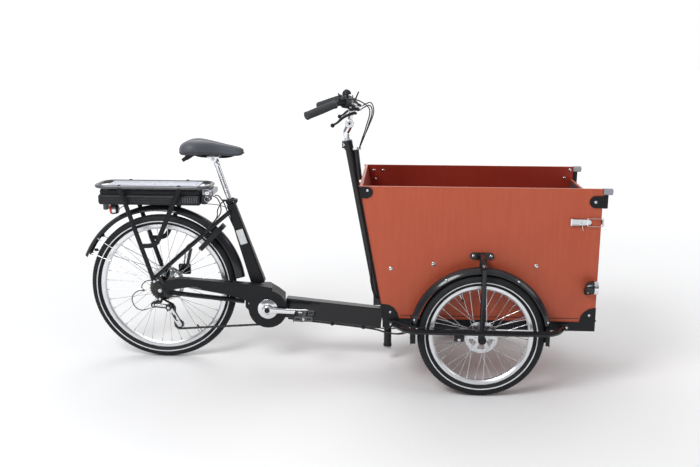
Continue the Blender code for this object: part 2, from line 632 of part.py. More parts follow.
def build_box():
    for side, name in ((-1, "right"), (1, "left")):
        outline = [(BOX_REAR_BOTTOM, BOX_BOTTOM), (BOX_FRONT, BOX_BOTTOM), (BOX_FRONT, BOX_TOP),
                   (BOX_REAR_TOP, BOX_TOP)]
        face = plate([outline], *sorted((side * (BOX_Y - PLY), side * BOX_Y)))
        y0, y1 = sorted((side * 0.2840, side * (BOX_Y - PLY + 0.001)))
        cleat = block((1.0000, y0, 0.5080), (1.2300, y1, 0.5295), 0.002)
        part("side_panel_" + name, join(face, cleat), "plywood")
    lean = PLY / math.cos(math.atan2(BOX_REAR_BOTTOM - BOX_REAR_TOP, BOX_TOP - BOX_BOTTOM))
    back = [(BOX_REAR_BOTTOM, BOX_BOTTOM), (BOX_REAR_BOTTOM + lean, BOX_BOTTOM),
            (BOX_REAR_TOP + lean, BOX_TOP), (BOX_REAR_TOP, BOX_TOP)]
    inner = BOX_Y - PLY - 0.0005
    part("rear_panel", plate([back], -inner, inner), "plywood")
    part("box_floor", block((BOX_REAR_BOTTOM + lean + 0.0015, -inner, 0.3000), (1.8360, inner, 0.3120)),
         "plywood")
    part("bench_seat", block((0.9860, -0.2900, 0.5300), (1.2360, 0.2900, 0.5420), 0.003), "plywood",
         (0.9860, 0, 0.5300))
    solids = [block((1.8390, -inner + 0.001, 0.3060), (1.8510, inner - 0.001, DOOR_TOP))]
    for side in (-1, 1):
        y0, y1 = sorted((side * 0.2600, side * 0.3220))
        solids.append(block((1.8505, min(side * 0.2600, side * 0.2950), 0.6960),
                            (1.8545, max(side * 0.2600, side * 0.2950), 0.7340)))
        solids.append(block((1.8520, y0, 0.7040), (1.8545, y1, 0.7260)))
    part("front_door", join(*solids), "plywood", (DOOR_HINGE[0], 0, DOOR_HINGE[1]))

    for side, name in ((-1, "right"), (1, "left")):
        y0, y1 = sorted((side * 0.3104, side * 0.3140))
        tab = arc_points((1.8240, 0.7960), 0.0240, 100, 260, 8) + [(1.8600, 0.7720), (1.8600, 0.8200)]
        leg0, leg1 = sorted((side * 0.2990, side * 0.3140))
        lens0, lens1 = (1.8520, side * 0.3060, 0.8370), (1.8885, side * 0.3060, 0.8370)
        fitting = join(plate([tab], y0, y1), block((1.8516, leg0, 0.7700), (1.8720, leg1, 0.8260), 0.002),
                       rod(lens0, lens1, 0.0140, sides=14))
        part("front_bracket_" + name, fitting, "black_plastic")

        lamp = turned([(0.0, -0.0240), (0.016, -0.0240), (0.027, 0.0040), (0.029, 0.0240), (0.0, 0.0240)],
                      (1.8200, side * 0.3440, 0.4560), 16, axis="X")
        mount = block((1.7980, min(side * 0.3105, side * 0.3300), 0.4200),
                      (1.8280, max(side * 0.3105, side * 0.3300), 0.4700), 0.003)
        part("headlamp_" + name, join(lamp, mount), "black_plastic")

        pivot = (1.7330, side * 0.3185, 0.7150)
        handle = join(block((1.7290, min(side * 0.3150, side * 0.3220), 0.7020),
                            (1.8000, max(side * 0.3150, side * 0.3220), 0.7280), 0.0015),
                      rod((1.7330, side * 0.3185, 0.7010), (1.7330, side * 0.3185, 0.7290), 0.0042,
                          sides=8))
        part("latch_lever_" + name, handle, "steel", pivot)
        wire = [(1.7960, side * 0.3185, 0.6990), (1.8585, side * 0.3185, 0.6990),
                (1.8585, side * 0.3185, 0.7310), (1.7960, side * 0.3185, 0.7310)]
        part("latch_loop_" + name, tube(rounded(wire, 0.006, 1), 0.0016, 1), "steel",
             (1.7960, side * 0.3185, 0.7150))


def build_guards():
    for side, name in ((-1, "right"), (1, "left")):
        z = 0.2840
        path = [(1.0350, side * 0.3250, 0.2780), (1.0760, side * 0.4000, z), (1.1100, side * GUARD_Y, z),
                (1.6500, side * GUARD_Y, z), (1.6900, side * 0.4000, z), (1.7250, side * 0.3250, 0.2780)]
        solids = [tube(rounded(path, 0.05, 2), 0.0120, 2)]
        post = [(WHEELBASE, side * GUARD_Y, 0.2500), (WHEELBASE, side * GUARD_Y, 0.5550),
                (WHEELBASE, side * 0.3950, 0.5720), (WHEELBASE, side * 0.3130, 0.5720)]
        solids.append(tube(rounded(post, 0.03, 2), 0.0110, 2))
        ends = arc_points((1.4220, 0.5700), 0.0140, -90, 90, 6) \
            + arc_points((1.3520, 0.5700), 0.0140, 90, 270, 6)
        solids.append(plate([ends], *sorted((side * 0.3104, side * 0.3150))))
        solids.append(rod((WHEELBASE, side * 0.4155, FRONT_R), (WHEELBASE, side * 0.4400, FRONT_R), 0.0170))
        y0, y1 = sorted((side * 0.3880, side * 0.4250))
        solids.append(block((1.2760, y0, 0.2440), (1.3180, y1, 0.2860), 0.004))
        for x in (1.0350, 1.7250):
            y0, y1 = sorted((side * 0.3140, side * 0.3300))
            solids.append(block((x - 0.018, y0, 0.2660), (x + 0.018, y1, 0.2940), 0.002))
        part("wheel_guard_" + name, join(*solids), "frame_black")

        section = [(0.2680, -0.0290), (0.2780, -0.0240), (0.2835, -0.0080), (0.2835, 0.0080),
                   (0.2780, 0.0240), (0.2680, 0.0290)]
        centre = (WHEELBASE - 0.004, side * WHEEL_Y, FRONT_R)
        shell = turned(section, centre, 14, arc=math.radians(158), thickness=0.0020,
                       start=math.radians(11))
        flaps = [block((x, side * WHEEL_Y - 0.020, low), (x + 0.004, side * WHEEL_Y + 0.020, high))
                 for x, low, high in ((1.1050, 0.2160, 0.3240), (1.6540, 0.2180, 0.3240))]
        part("front_mudguard_" + name, join(shell, *flaps), "black_plastic")


# ---- steering ------------------------------------------------------------------------------------
def grip_point(side, along, below=0.0, ahead=0.0):
    """A point on a hand grip's axis, along metres from its inner end, moved below and ahead."""
    inner = Vector((0.790, side * 0.175, 1.163))
    outer = Vector((0.678, side * 0.275, 1.121))
    return inner + (outer - inner).normalized() * along + Vector((ahead, 0, -below))


def build_steering():
    post = rod(on_steerer(0.2900), on_steerer(0.9700), 0.0170, sides=16)
    collar = rod(on_steerer(0.9580), on_steerer(0.9950), 0.0205, sides=16)
    guide = rod(on_steerer(0.8250, 0, 0.0200), on_steerer(0.9560, 0, 0.0300), 0.0120, sides=12)
    foot = block((0.9440, -0.0200, 0.2640), (0.9895, 0.0200, 0.2990))
    ears = [block((0.8030, y - 0.004, 0.9620), (0.8200, y + 0.004, 0.9920)) for y in (-0.009, 0.009)]
    stay = block((0.8560, -0.0160, 0.8000), (0.8960, 0.0160, 0.8120))
    low_stay = block((0.9250, -0.0160, 0.4600), (0.9590, 0.0160, 0.4720))
    whole = join(post, collar, guide, foot, stay, low_stay, *ears)
    part("steering_post", cut(whole, rod(on_steerer(0.8200), on_steerer(1.0100), 0.0118, sides=16)),
         "frame_black")

    stem = join(rod(on_steerer(0.8700), on_steerer(1.0300), 0.0112, sides=16),
                rod((0.8190, 0, 1.0200), (0.8350, 0, 1.0700), 0.0150, sides=14),
                rod((0.8350, -0.0180, 1.0680), (0.8350, 0.0180, 1.0680), 0.0190, sides=16),
                bar((0.8350, 0, 1.0700), (0.8440, 0, 1.1300), 0.026, 0.030, bevel=0.004),
                rod((0.8450, -0.0200, 1.1350), (0.8450, 0.0200, 1.1350), 0.0200, sides=16))
    part("stem", cut(stem, rod((0.8450, -0.03, 1.1350), (0.8450, 0.03, 1.1350), 0.0129, sides=16)),
         "alloy", on_steerer(0.995))

    half = [(0.8450, 0.0, 1.1350), (0.8450, 0.030, 1.1350), (0.8480, 0.070, 1.1440),
            (0.8300, 0.130, 1.1620), (0.7900, 0.175, 1.1630)]
    path = [(x, -y, z) for x, y, z in reversed(half)] + half[1:]
    path = [tuple(grip_point(-1, 0.150))] + path + [tuple(grip_point(1, 0.150))]
    solids = [tube(rounded(path, 0.03, 1), 0.0112, 2)]
    for side in (-1, 1):
        solids.append(rod((0.8360, side * 0.118, 1.1560), (0.8180, side * 0.146, 1.1620), 0.0180))
        solids.append(bar((0.8280, side * 0.130, 1.1580), (0.8520, side * 0.125, 1.1430), 0.022, 0.026,
                          bevel=0.004))
    solids.append(rod((0.8400, -0.0850, 1.1450), (0.8290, -0.0850, 1.1880), 0.0060, sides=8))
    solids.append(rod((0.8290, -0.0850, 1.1860), (0.8240, -0.0850, 1.2080), 0.0190, 0.0150, sides=14))
    part("handlebar", join(*solids), "black_plastic", (0.845, 0, 1.135))
    for side, name in ((-1, "right"), (1, "left")):
        grip = rod(grip_point(side, 0.006), grip_point(side, 0.156), 0.0165, sides=14)
        bore = rod(grip_point(side, -0.01), grip_point(side, 0.151), 0.0117, sides=14)
        part("grip_" + name, cut(grip, bore), "rubber")
        start = Vector((0.8620, side * 0.1240, 1.1220))
        reach = Vector((-0.0830, side * 0.0865, -0.0410)).normalized()
        mid, tip = start + reach * 0.060, start + reach * 0.127 + Vector((-0.002, 0, -0.003))
        lever = join(tube([tuple(start), tuple(mid), tuple(tip)], 0.0055, 2),
                     rod(tip - reach * 0.006, tip + reach * 0.008, 0.0095, sides=10),
                     block(start - Vector((0.010, 0.009, 0.006)), start + Vector((0.010, 0.009, 0.006)),
                           0.002))
        part("brake_lever_" + name, lever, "black_plastic", start)
    shifter = join(bar((0.8100, -0.1560, 1.1860), (0.7950, -0.1560, 1.2040), 0.016, 0.006),
                   rod((0.8120, -0.1640, 1.1840), (0.8120, -0.1480, 1.1840), 0.0050, sides=10))
    part("shifter_lever", shifter, "black_plastic", (0.812, -0.156, 1.184))

    # brake and gear cables: from the levers forward, down into the post's guide tube
    solids = []
    for side in (-1, 1):
        path = [(0.8800, side * 0.112, 1.1330), (0.9200, side * 0.085, 1.1500),
                (0.9320, side * 0.045, 1.1200), (0.9000, side * 0.016, 1.0200),
                (0.8780, side * 0.005, 0.9720), (0.8750, side * 0.004, 0.9600)]
        solids.append(tube(rounded(path, 0.04, 1), 0.0035, 1))
    solids.append(block((0.8700, -0.0080, 0.9620), (0.8800, 0.0080, 0.9700)))
    part("steering_cables", join(*solids), "rubber")
    low = [(0.5600, -0.012, 0.1880), (0.9600, -0.012, 0.1490), (1.0100, -0.030, 0.1400),
           (1.0800, -0.042, 0.1480), (1.1060, -0.042, 0.1800), (1.0850, -0.038, 0.2150),
           (1.0450, -0.034, 0.2560)]
    part("beam_cables", tube(rounded(low, 0.03, 2), 0.0040, 1), "rubber")


def main():
    clear_scene()
    make_collections()
    build_wheels()
    build_drive()
    build_frame()
    build_seat()
    build_carrier()
    build_chassis()
    build_box()
    build_guards()
    build_steering()
    for obj in list(HELPERS.objects):
        bpy.data.objects.remove(obj, do_unlink=True)
    bpy.data.collections.remove(HELPERS)


main()
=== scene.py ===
"""Looks of an electric cargo bicycle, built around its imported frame.

Lengths are metres. +X runs forward, +Y is the rider's left, +Z is up and the ground is Z = 0.
Places are measured from the rear axle, whose own place comes from the frame.
"""

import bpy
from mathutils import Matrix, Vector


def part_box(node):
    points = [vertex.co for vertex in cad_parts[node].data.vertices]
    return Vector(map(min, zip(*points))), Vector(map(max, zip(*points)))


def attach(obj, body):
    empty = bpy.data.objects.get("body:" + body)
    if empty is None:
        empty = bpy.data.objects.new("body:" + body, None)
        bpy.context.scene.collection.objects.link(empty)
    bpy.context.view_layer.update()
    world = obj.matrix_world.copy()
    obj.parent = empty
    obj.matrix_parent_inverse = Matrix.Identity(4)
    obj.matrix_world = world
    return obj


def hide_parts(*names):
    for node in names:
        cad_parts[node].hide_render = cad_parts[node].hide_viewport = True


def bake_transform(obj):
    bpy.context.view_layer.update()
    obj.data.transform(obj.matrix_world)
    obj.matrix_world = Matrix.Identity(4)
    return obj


bl_info = {
    "name": "Cargo Bicycle Looks",
    "version": (1, 0, 0),
    "blender": (4, 5, 0),
    "location": "View3D > Sidebar > Cargo Bicycle",
    "description": "Dresses the frame of a cargo bicycle with its visible pieces and finishes",
    "category": "Object",
}

from math import acos, asin, atan2, copysign, cos, degrees, pi, radians, sin

import bmesh
import bpy
from bpy.props import FloatProperty, FloatVectorProperty, IntProperty, PointerProperty
from bpy.types import NodeSocket, Operator, Panel, PropertyGroup
from mathutils import Matrix, Vector

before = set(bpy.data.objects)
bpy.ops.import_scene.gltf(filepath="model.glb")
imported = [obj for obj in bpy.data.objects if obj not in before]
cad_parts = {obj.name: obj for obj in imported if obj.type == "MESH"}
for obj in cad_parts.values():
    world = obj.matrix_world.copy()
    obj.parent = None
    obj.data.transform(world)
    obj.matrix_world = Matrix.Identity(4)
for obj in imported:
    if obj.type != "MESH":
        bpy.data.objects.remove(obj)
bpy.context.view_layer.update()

SIDES = (("right", -1), ("left", 1))
BOX_Y = 0.31                      # outer faces of the box's sides


def middle(node):
    """The middle of a node's box."""
    low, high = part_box(node)
    return (low + high) / 2


REAR = middle("rear_tyre")
FRONT = {name: middle("front_tyre_" + name) for name, side in SIDES}


def radius_of(node):
    """Half the height of a round node."""
    low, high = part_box(node)
    return (high.z - low.z) / 2


def at(x, y, z):
    """The place x ahead of the rear axle, y to the left and z above the ground."""
    return Vector((REAR.x + x, y, z))


def aside(y):
    """A step to the left."""
    return Vector((0, y, 0))


CRANK = at(0.48, 0, 0.2555)
FROM_REAR = Matrix.Translation((REAR.x, 0, 0))


# ---- what a user can change ----------------------------------------------------------------------
def colour(name, description, value):
    """A colour property."""
    return FloatVectorProperty(name=name, description=description, default=value, size=3, min=0.0,
        max=1.0, subtype="COLOR")


def length(name, description, value):
    """A length property."""
    return FloatProperty(name=name, description=description, default=value, min=0.0001, soft_max=2,
        unit="LENGTH", precision=4)


class BikeColours(PropertyGroup):
    """Colours of the bicycle's finishes."""
    paint: colour("Frame paint", "Gloss black of the tubes", (0.006, 0.0066, 0.0082))
    moulded: colour("Moulded black", "Housings and guards", (0.011, 0.012, 0.0145))
    film: colour("Panel film", "Red-brown film on the plywood", (0.45, 0.083, 0.036))
    # The inner film is the panel film darkened as painted shade for the inside of the box.
    shaded_film_inside: colour("Inner film, painted shade", "Film inside the box", (0.28, 0.02, 0.0075))
    rubber: colour("Tyre rubber", "Tread and side walls", (0.01, 0.0105, 0.012))
    stripe: colour("Tyre stripe", "Reflecting stripe on the side walls", (0.74, 0.76, 0.78))
    alloy: colour("Bare alloy", "Rims, crank and seat post", (0.8, 0.81, 0.83))
    steel: colour("Bright steel", "Spokes, latches and bolts", (0.68, 0.7, 0.72))
    skin: colour("Saddle skin", "Cover of the saddle", (0.052, 0.056, 0.07))
    grip: colour("Grip rubber", "Hand grips", (0.024, 0.026, 0.031))
    plate: colour("Carrier plate", "Pale plate on the carrier", (0.62, 0.65, 0.74))
    red: colour("Tail lens", "Red part of the tail lamp", (0.52, 0.045, 0.03))
    floor: colour("Floor", "Pale studio floor", (0.86, 0.865, 0.87))


class BikeSizes(PropertyGroup):
    """Sizes of the pieces that only the looks have."""
    rear_spokes: IntProperty(name="Rear spokes", description="Spokes in the rear wheel", default=36,
        min=12, max=48)
    front_spokes: IntProperty(name="Front spokes", description="Spokes in each front wheel",
        default=36, min=12, max=48)
    spoke: length("Spoke", "Radius of a spoke", 0.0011)
    tread_pitch: length("Tread pitch", "Length of one tread block with its groove", 0.015)
    tread_depth: length("Tread depth", "Depth of the grooves", 0.0016)
    chain_pitch: length("Chain pitch", "Distance between two chain pins", 0.0127)
    cable: length("Cable", "Radius of a brake or gear cable", 0.0026)
    rivet: length("Rivet", "Radius of a rivet's head", 0.0062)
    lens: FloatProperty(name="Lens", description="Focal length on a 36 mm sensor, in millimetres",
        default=44.51, min=10.0, max=200.0)


def colours():
    return bpy.context.scene.bike_colours


def sizes():
    return bpy.context.scene.bike_sizes


# ---- shared effects: node groups -----------------------------------------------------------------
def fill(tree, node, inputs):
    """Sets or links the inputs of a node."""
    for key, value in inputs.items():
        if isinstance(value, NodeSocket):
            tree.links.new(value, node.inputs[key])
        else:
            node.inputs[key].default_value = value


def add(tree, kind, inputs=None, **settings):
    """A new node, with its settings made and its inputs set or linked."""
    node = tree.nodes.new("ShaderNode" + kind)
    for key, value in settings.items():
        setattr(node, key, value)
    fill(tree, node, inputs or {})
    return node


def math_node(tree, operation, *values):
    """The result of one sum on numbers or sockets."""
    return add(tree, "Math", dict(enumerate(values)), operation=operation).outputs[0]


def mix_colour(tree, factor, first, second, blend="MIX"):
    """The colour between first and second."""
    inputs = {0: factor, 6: first, 7: second}
    return add(tree, "Mix", inputs, data_type="RGBA", blend_type=blend).outputs[2]


def times(tree, first, second):
    """The product of two numbers or sockets."""
    return math_node(tree, "MULTIPLY", first, second)


def ramp(tree, value, low, high, top=1):
    """The value stretched from low and high to 0 and top, and held there beyond them."""
    return add(tree, "MapRange", {0: value, 1: low, 2: high, 4: top}).outputs[0]


def noise(tree, place, scale, detail=2):
    """Soft noise over the surface."""
    return add(tree, "TexNoise", {"Vector": place, "Scale": scale, "Detail": detail}).outputs[0]


def object_place(tree):
    """Where a point lies on its own object."""
    return add(tree, "TexCoord").outputs["Object"]


def new_group(name, inputs, outputs):
    """An empty node group with named sockets, and its input and output nodes."""
    group = bpy.data.node_groups.new(name, "ShaderNodeTree")
    for label, (kind, value) in inputs.items():
        socket = group.interface.new_socket(label, in_out="INPUT", socket_type="NodeSocket" + kind)
        if value is not None:
            socket.default_value = value
    for label, kind in outputs.items():
        group.interface.new_socket(label, in_out="OUTPUT", socket_type="NodeSocket" + kind)
    return group, group.nodes.new("NodeGroupInput").outputs, group.nodes.new("NodeGroupOutput").inputs


def mottle_group():
    """Two colours mixed by broad clouds and fine specks, as in any real finish."""
    group, given, result = new_group("Mottle", {"Color": ("Color", None),
        "Second Color": ("Color", None), "Scale": ("Float", 6), "Specks": ("Float", 0.3)},
        {"Color": "Color"})
    place = object_place(group)
    clouds = add(group, "TexNoise", {"Vector": place, "Scale": given["Scale"], "Detail": 3})
    fine = times(group, given["Scale"], 60)
    specks = add(group, "TexNoise", {"Vector": place, "Scale": fine, "Detail": 2})
    broad = ramp(group, clouds.outputs[0], 0.35, 0.65)
    sharp = ramp(group, specks.outputs[0], 0.4, 0.62)
    both = times(group, sharp, given["Specks"])
    total = math_node(group, "ADD", times(group, broad, 0.6), both)
    group.links.new(mix_colour(group, math_node(group, "MINIMUM", total, 1), given["Color"],
        given["Second Color"]), result["Color"])
    return group


def grain_group():
    """Fine surface grain: a height for a bump and a roughness between two values."""
    group, given, result = new_group("Grain", {"Scale": ("Float", 400),
        "Stretch": ("Vector", (1, 1, 1)), "Smoothest": ("Float", 0.3), "Roughest": ("Float", 0.5)},
        {"Height": "Float", "Roughness": "Float"})
    place = object_place(group)
    place = add(group, "VectorMath", {0: place, 1: given["Stretch"]},
        operation="MULTIPLY").outputs[0]
    fine = add(group, "TexNoise", {"Vector": place, "Scale": given["Scale"], "Detail": 4})
    wide = add(group, "TexNoise", {"Vector": place, "Scale": math_node(group, "MULTIPLY",
        given["Scale"], 0.04)})
    group.links.new(fine.outputs[0], result["Height"])
    spread = math_node(group, "ADD", times(group, fine.outputs[0], 0.5),
        times(group, wide.outputs[0], 0.5))
    rough = add(group, "MapRange", {0: spread, 1: 0.35, 2: 0.65, 3: given["Smoothest"],
        4: given["Roughest"]})
    group.links.new(rough.outputs[0], result["Roughness"])
    return group


def pebble_group():
    """Small rounded pebbles, as on leather cloth or a textured moulding."""
    group, given, result = new_group("Pebbles", {"Scale": ("Float", 500)}, {"Height": "Float"})
    place = object_place(group)
    cells = add(group, "TexVoronoi", {"Vector": place, "Scale": given["Scale"]},
        feature="SMOOTH_F1")
    group.links.new(cells.outputs["Distance"], result["Height"])
    return group


def edge_group():
    """Rounded edge normals, and a mask that is 1 on rubbed corners, which the finishes make paler,
    partly as scuffing and partly as a painted highlight.
    """
    group, given, result = new_group("Edges", {"Width": ("Float", 0.001)},
        {"Normal": "Vector", "Mask": "Float"})
    bevel = add(group, "Bevel", {"Radius": given["Width"]}, samples=4).outputs[0]
    facing = add(group, "NewGeometry").outputs["Normal"]
    same = add(group, "VectorMath", {0: bevel, 1: facing}, operation="DOT_PRODUCT").outputs["Value"]
    patches = noise(group, object_place(group), 90, 3)
    # Corners, where the paler colour stands partly for scuffing and partly for a painted highlight.
    rubbed_and_lit = ramp(group, same, 0.995, 0.86)
    broken = ramp(group, patches, 0.42, 0.6)
    group.links.new(bevel, result["Normal"])
    group.links.new(times(group, rubbed_and_lit, broken), result["Mask"])
    return group


def dust_group():
    """Pale dust that lies on faces that look up."""
    group, given, result = new_group("Dust", {"Color": ("Color", None), "Amount": ("Float", 0.1)},
        {"Color": "Color"})
    facing = add(group, "NewGeometry").outputs["Normal"]
    up = add(group, "SeparateXYZ", {0: facing}).outputs["Z"]
    up = ramp(group, up, 0.2, 1)
    patches = noise(group, object_place(group), 35, 5)
    amount = times(group, times(group, up, patches), given["Amount"])
    group.links.new(mix_colour(group, amount, given["Color"], (0.42, 0.4, 0.37, 1)),
        result["Color"])
    return group


def ply_group():
    """Plywood: film on the broad faces, thin layers on the edges. Across is the way through the
    board. Where Inside is 1 the film is swapped for a darker copy, painted shade on the faces inside
    the box."""
    group, given, result = new_group("Plywood", {"Film": ("Color", None),
        "Shaded Inner Film": ("Color", None), "Inside": ("Float", 0), "Across": ("Vector", (0, 1, 0)),
        "Streaks": ("Vector", (1, 1, 1)), "Layer": ("Float", 0.0015)},
        {"Color": "Color", "Height": "Float", "Edge": "Float"})
    place = object_place(group)
    facing = add(group, "NewGeometry").outputs["True Normal"]
    turned = add(group, "VectorMath", {0: facing, 1: given["Across"]},
        operation="DOT_PRODUCT").outputs["Value"]
    edge = math_node(group, "LESS_THAN", math_node(group, "ABSOLUTE", turned), 0.6)
    depth = add(group, "VectorMath", {0: place, 1: given["Across"]},
        operation="DOT_PRODUCT").outputs["Value"]
    wobble = noise(group, place, 18)
    depth = math_node(group, "ADD", depth, times(group, wobble, 0.0006))
    layer = math_node(group, "FRACT", math_node(group, "DIVIDE", depth, given["Layer"]))
    layer = ramp(group, layer, 0.42, 0.58)
    along = add(group, "VectorMath", {0: place, 1: given["Streaks"]},
        operation="MULTIPLY").outputs[0]
    streak = noise(group, along, 14, 5)
    specks = noise(group, place, 420, 2)
    clouds = noise(group, place, 2.2, 2)
    # Painted shade: the faces inside the box take the darker inner film.
    film = mix_colour(group, given["Inside"], given["Film"], given["Shaded Inner Film"])
    dark = mix_colour(group, 1, film, (0.93, 0.88, 0.86, 1), "MULTIPLY")
    light = mix_colour(group, 0.05, film, (0.8, 0.5, 0.42, 1))
    face = mix_colour(group, ramp(group, streak, 0.36, 0.68), dark, film)
    face = mix_colour(group, ramp(group, specks, 0.55, 0.72), face, light)
    face = mix_colour(group, ramp(group, clouds, 0.3, 0.7, 0.22), face, light)
    pale = mix_colour(group, 0.55, film, (0.66, 0.34, 0.22, 1))
    rim = mix_colour(group, layer, mix_colour(group, 0.5, dark, film), pale)
    group.links.new(mix_colour(group, edge, face, rim), result["Color"])
    height = math_node(group, "ADD", times(group, streak, 0.6), times(group, specks, 0.4))
    edge_height = times(group, times(group, layer, edge), 0.8)
    group.links.new(math_node(group, "ADD", height, edge_height), result["Height"])
    group.links.new(edge, result["Edge"])
    return group


GROUP_MAKERS = {"Mottle": mottle_group, "Grain": grain_group, "Pebbles": pebble_group,
    "Edges": edge_group, "Dust": dust_group, "Plywood": ply_group}


def effect(tree, name, inputs):
    """A shared effect placed in a material, with that material's own values."""
    group = bpy.data.node_groups.get(name) or GROUP_MAKERS[name]()
    return add(tree, "Group", inputs, node_tree=group).outputs


# ---- finishes ------------------------------------------------------------------------------------
def rgba(value, scale=1):
    """A colour with alpha, made lighter or darker by scale."""
    return tuple(min(1, c * scale) for c in value) + (1,)


def scaled(colour, share):
    """A colour with each part scaled."""
    return [part * share for part in colour]


def start_material(name, **constants):
    """A new material with a Principled shader whose own sockets hold the constants."""
    made = bpy.data.materials.new(name)
    made.use_nodes = True
    tree = made.node_tree
    shader = tree.nodes["Principled BSDF"]
    for key, value in constants.items():
        shader.inputs[key.replace("_", " ").title().replace("Ior", "IOR")].default_value = value
    made.diffuse_color = (0.5, 0.5, 0.5, 1)
    return made, tree


def joined(made, shade, rough, raised):
    """The material with its colour, roughness and bump led into its shader."""
    tree = made.node_tree
    inputs = tree.nodes["Principled BSDF"].inputs
    for key, socket in (("Base Color", shade), ("Roughness", rough), ("Normal", raised.outputs[0])):
        tree.links.new(socket, inputs[key])
    return made


def surface(name, base, second, rough, grain=400, bump=0.00004, stretch=(1, 1, 1), wear=0,
        wear_colour=(0.3, 0.3, 0.31), dust=0, pebbles=0, mottle=6, specks=0.3, edge_width=0.001,
        **constants):
    """A finish with mottled colour, grain, rounded edges made paler partly as scuffing and partly as
    a painted highlight, and dust.
    """
    made, tree = start_material(name, **constants)
    shade = effect(tree, "Mottle", {"Color": rgba(base), "Second Color": rgba(second),
        "Scale": mottle, "Specks": specks})["Color"]
    edges = effect(tree, "Edges", {"Width": edge_width})
    # Paler corners: partly scuffing, partly a painted highlight.
    if wear:
        shade = mix_colour(tree, times(tree, edges["Mask"], wear), shade, rgba(wear_colour))
    if dust:
        shade = effect(tree, "Dust", {"Color": shade, "Amount": dust})["Color"]
    texture = effect(tree, "Grain", {"Scale": grain, "Stretch": stretch, "Smoothest": rough[0],
        "Roughest": rough[1]})
    height = texture["Height"]
    if pebbles:
        height = effect(tree, "Pebbles", {"Scale": pebbles})["Height"]
    raised = add(tree, "Bump", {"Height": height, "Distance": bump, "Normal": edges["Normal"]})
    return joined(made, shade, texture["Roughness"], raised)


def plywood(name, film, shaded_inner_film, across, streaks, inner_way):
    """Film-faced plywood whose thickness runs along across. Its inner film, a darker copy of the film
    that paints shade, is on the faces that look along inner_way, or on those nearest the bicycle's
    middle where that has no length."""
    made, tree = start_material(name, coat_weight=0.06, coat_roughness=0.35,
        specular_ior_level=0.35)
    # Which faces lie inside the box and get the painted shade.
    if inner_way:
        facing = add(tree, "NewGeometry").outputs["True Normal"]
        turned = add(tree, "VectorMath", {0: facing, 1: inner_way}, operation="DOT_PRODUCT")
        inside = math_node(tree, "GREATER_THAN", turned.outputs["Value"], 0.5)
    else:
        place = add(tree, "SeparateXYZ", {0: object_place(tree)}).outputs["Y"]
        inside = math_node(tree, "LESS_THAN", math_node(tree, "ABSOLUTE", place), BOX_Y - 0.0105)
    board = effect(tree, "Plywood", {"Film": rgba(film), "Shaded Inner Film": rgba(shaded_inner_film),
        "Inside": inside, "Across": across, "Streaks": streaks})
    edges = effect(tree, "Edges", {"Width": 0.0012})
    # Paler board edges: partly scuffing, partly a painted highlight.
    shade = mix_colour(tree, times(tree, edges["Mask"], 0.35), board["Color"], (0.66, 0.3, 0.2, 1))
    shade = effect(tree, "Dust", {"Color": shade, "Amount": 0.05})["Color"]
    texture = effect(tree, "Grain", {"Scale": 240, "Smoothest": 0.34, "Roughest": 0.52})
    raised = add(tree, "Bump", {"Height": board["Height"], "Distance": 0.00012,
        "Normal": edges["Normal"]})
    return joined(made, shade, texture["Roughness"], raised)


def wire_mesh_film(name, film):
    """Anti-slip film: a fine woven pattern pressed into dark film."""
    made, tree = start_material(name, coat_weight=0.1)
    place = object_place(tree)
    checks = add(tree, "TexVoronoi", {"Vector": place, "Scale": 320}, distance="CHEBYCHEV",
        feature="F1")
    checks.inputs["Randomness"].default_value = 0.05
    shade = effect(tree, "Mottle", {"Color": rgba(film), "Second Color": rgba(film, 1.35),
        "Scale": 8, "Specks": 0.5})["Color"]
    shade = effect(tree, "Dust", {"Color": shade, "Amount": 0.12})["Color"]
    texture = effect(tree, "Grain", {"Scale": 300, "Smoothest": 0.45, "Roughest": 0.65})
    raised = add(tree, "Bump", {"Height": checks.outputs["Distance"], "Distance": 0.0004})
    return joined(made, shade, texture["Roughness"], raised)


def clear_lens(name, tint, roughness=0.06, facets=260):
    """Clear moulded lens with small prisms on its back."""
    made, tree = start_material(name, transmission_weight=0.85, ior=1.49, roughness=roughness)
    shade = effect(tree, "Mottle", {"Color": rgba(tint), "Second Color": rgba(tint, 0.9),
        "Scale": 20, "Specks": 0.2})["Color"]
    prisms = effect(tree, "Pebbles", {"Scale": facets})
    raised = add(tree, "Bump", {"Height": prisms["Height"], "Distance": 0.0005})
    inputs = tree.nodes["Principled BSDF"].inputs
    tree.links.new(shade, inputs["Base Color"])
    tree.links.new(raised.outputs[0], inputs["Normal"])
    return made


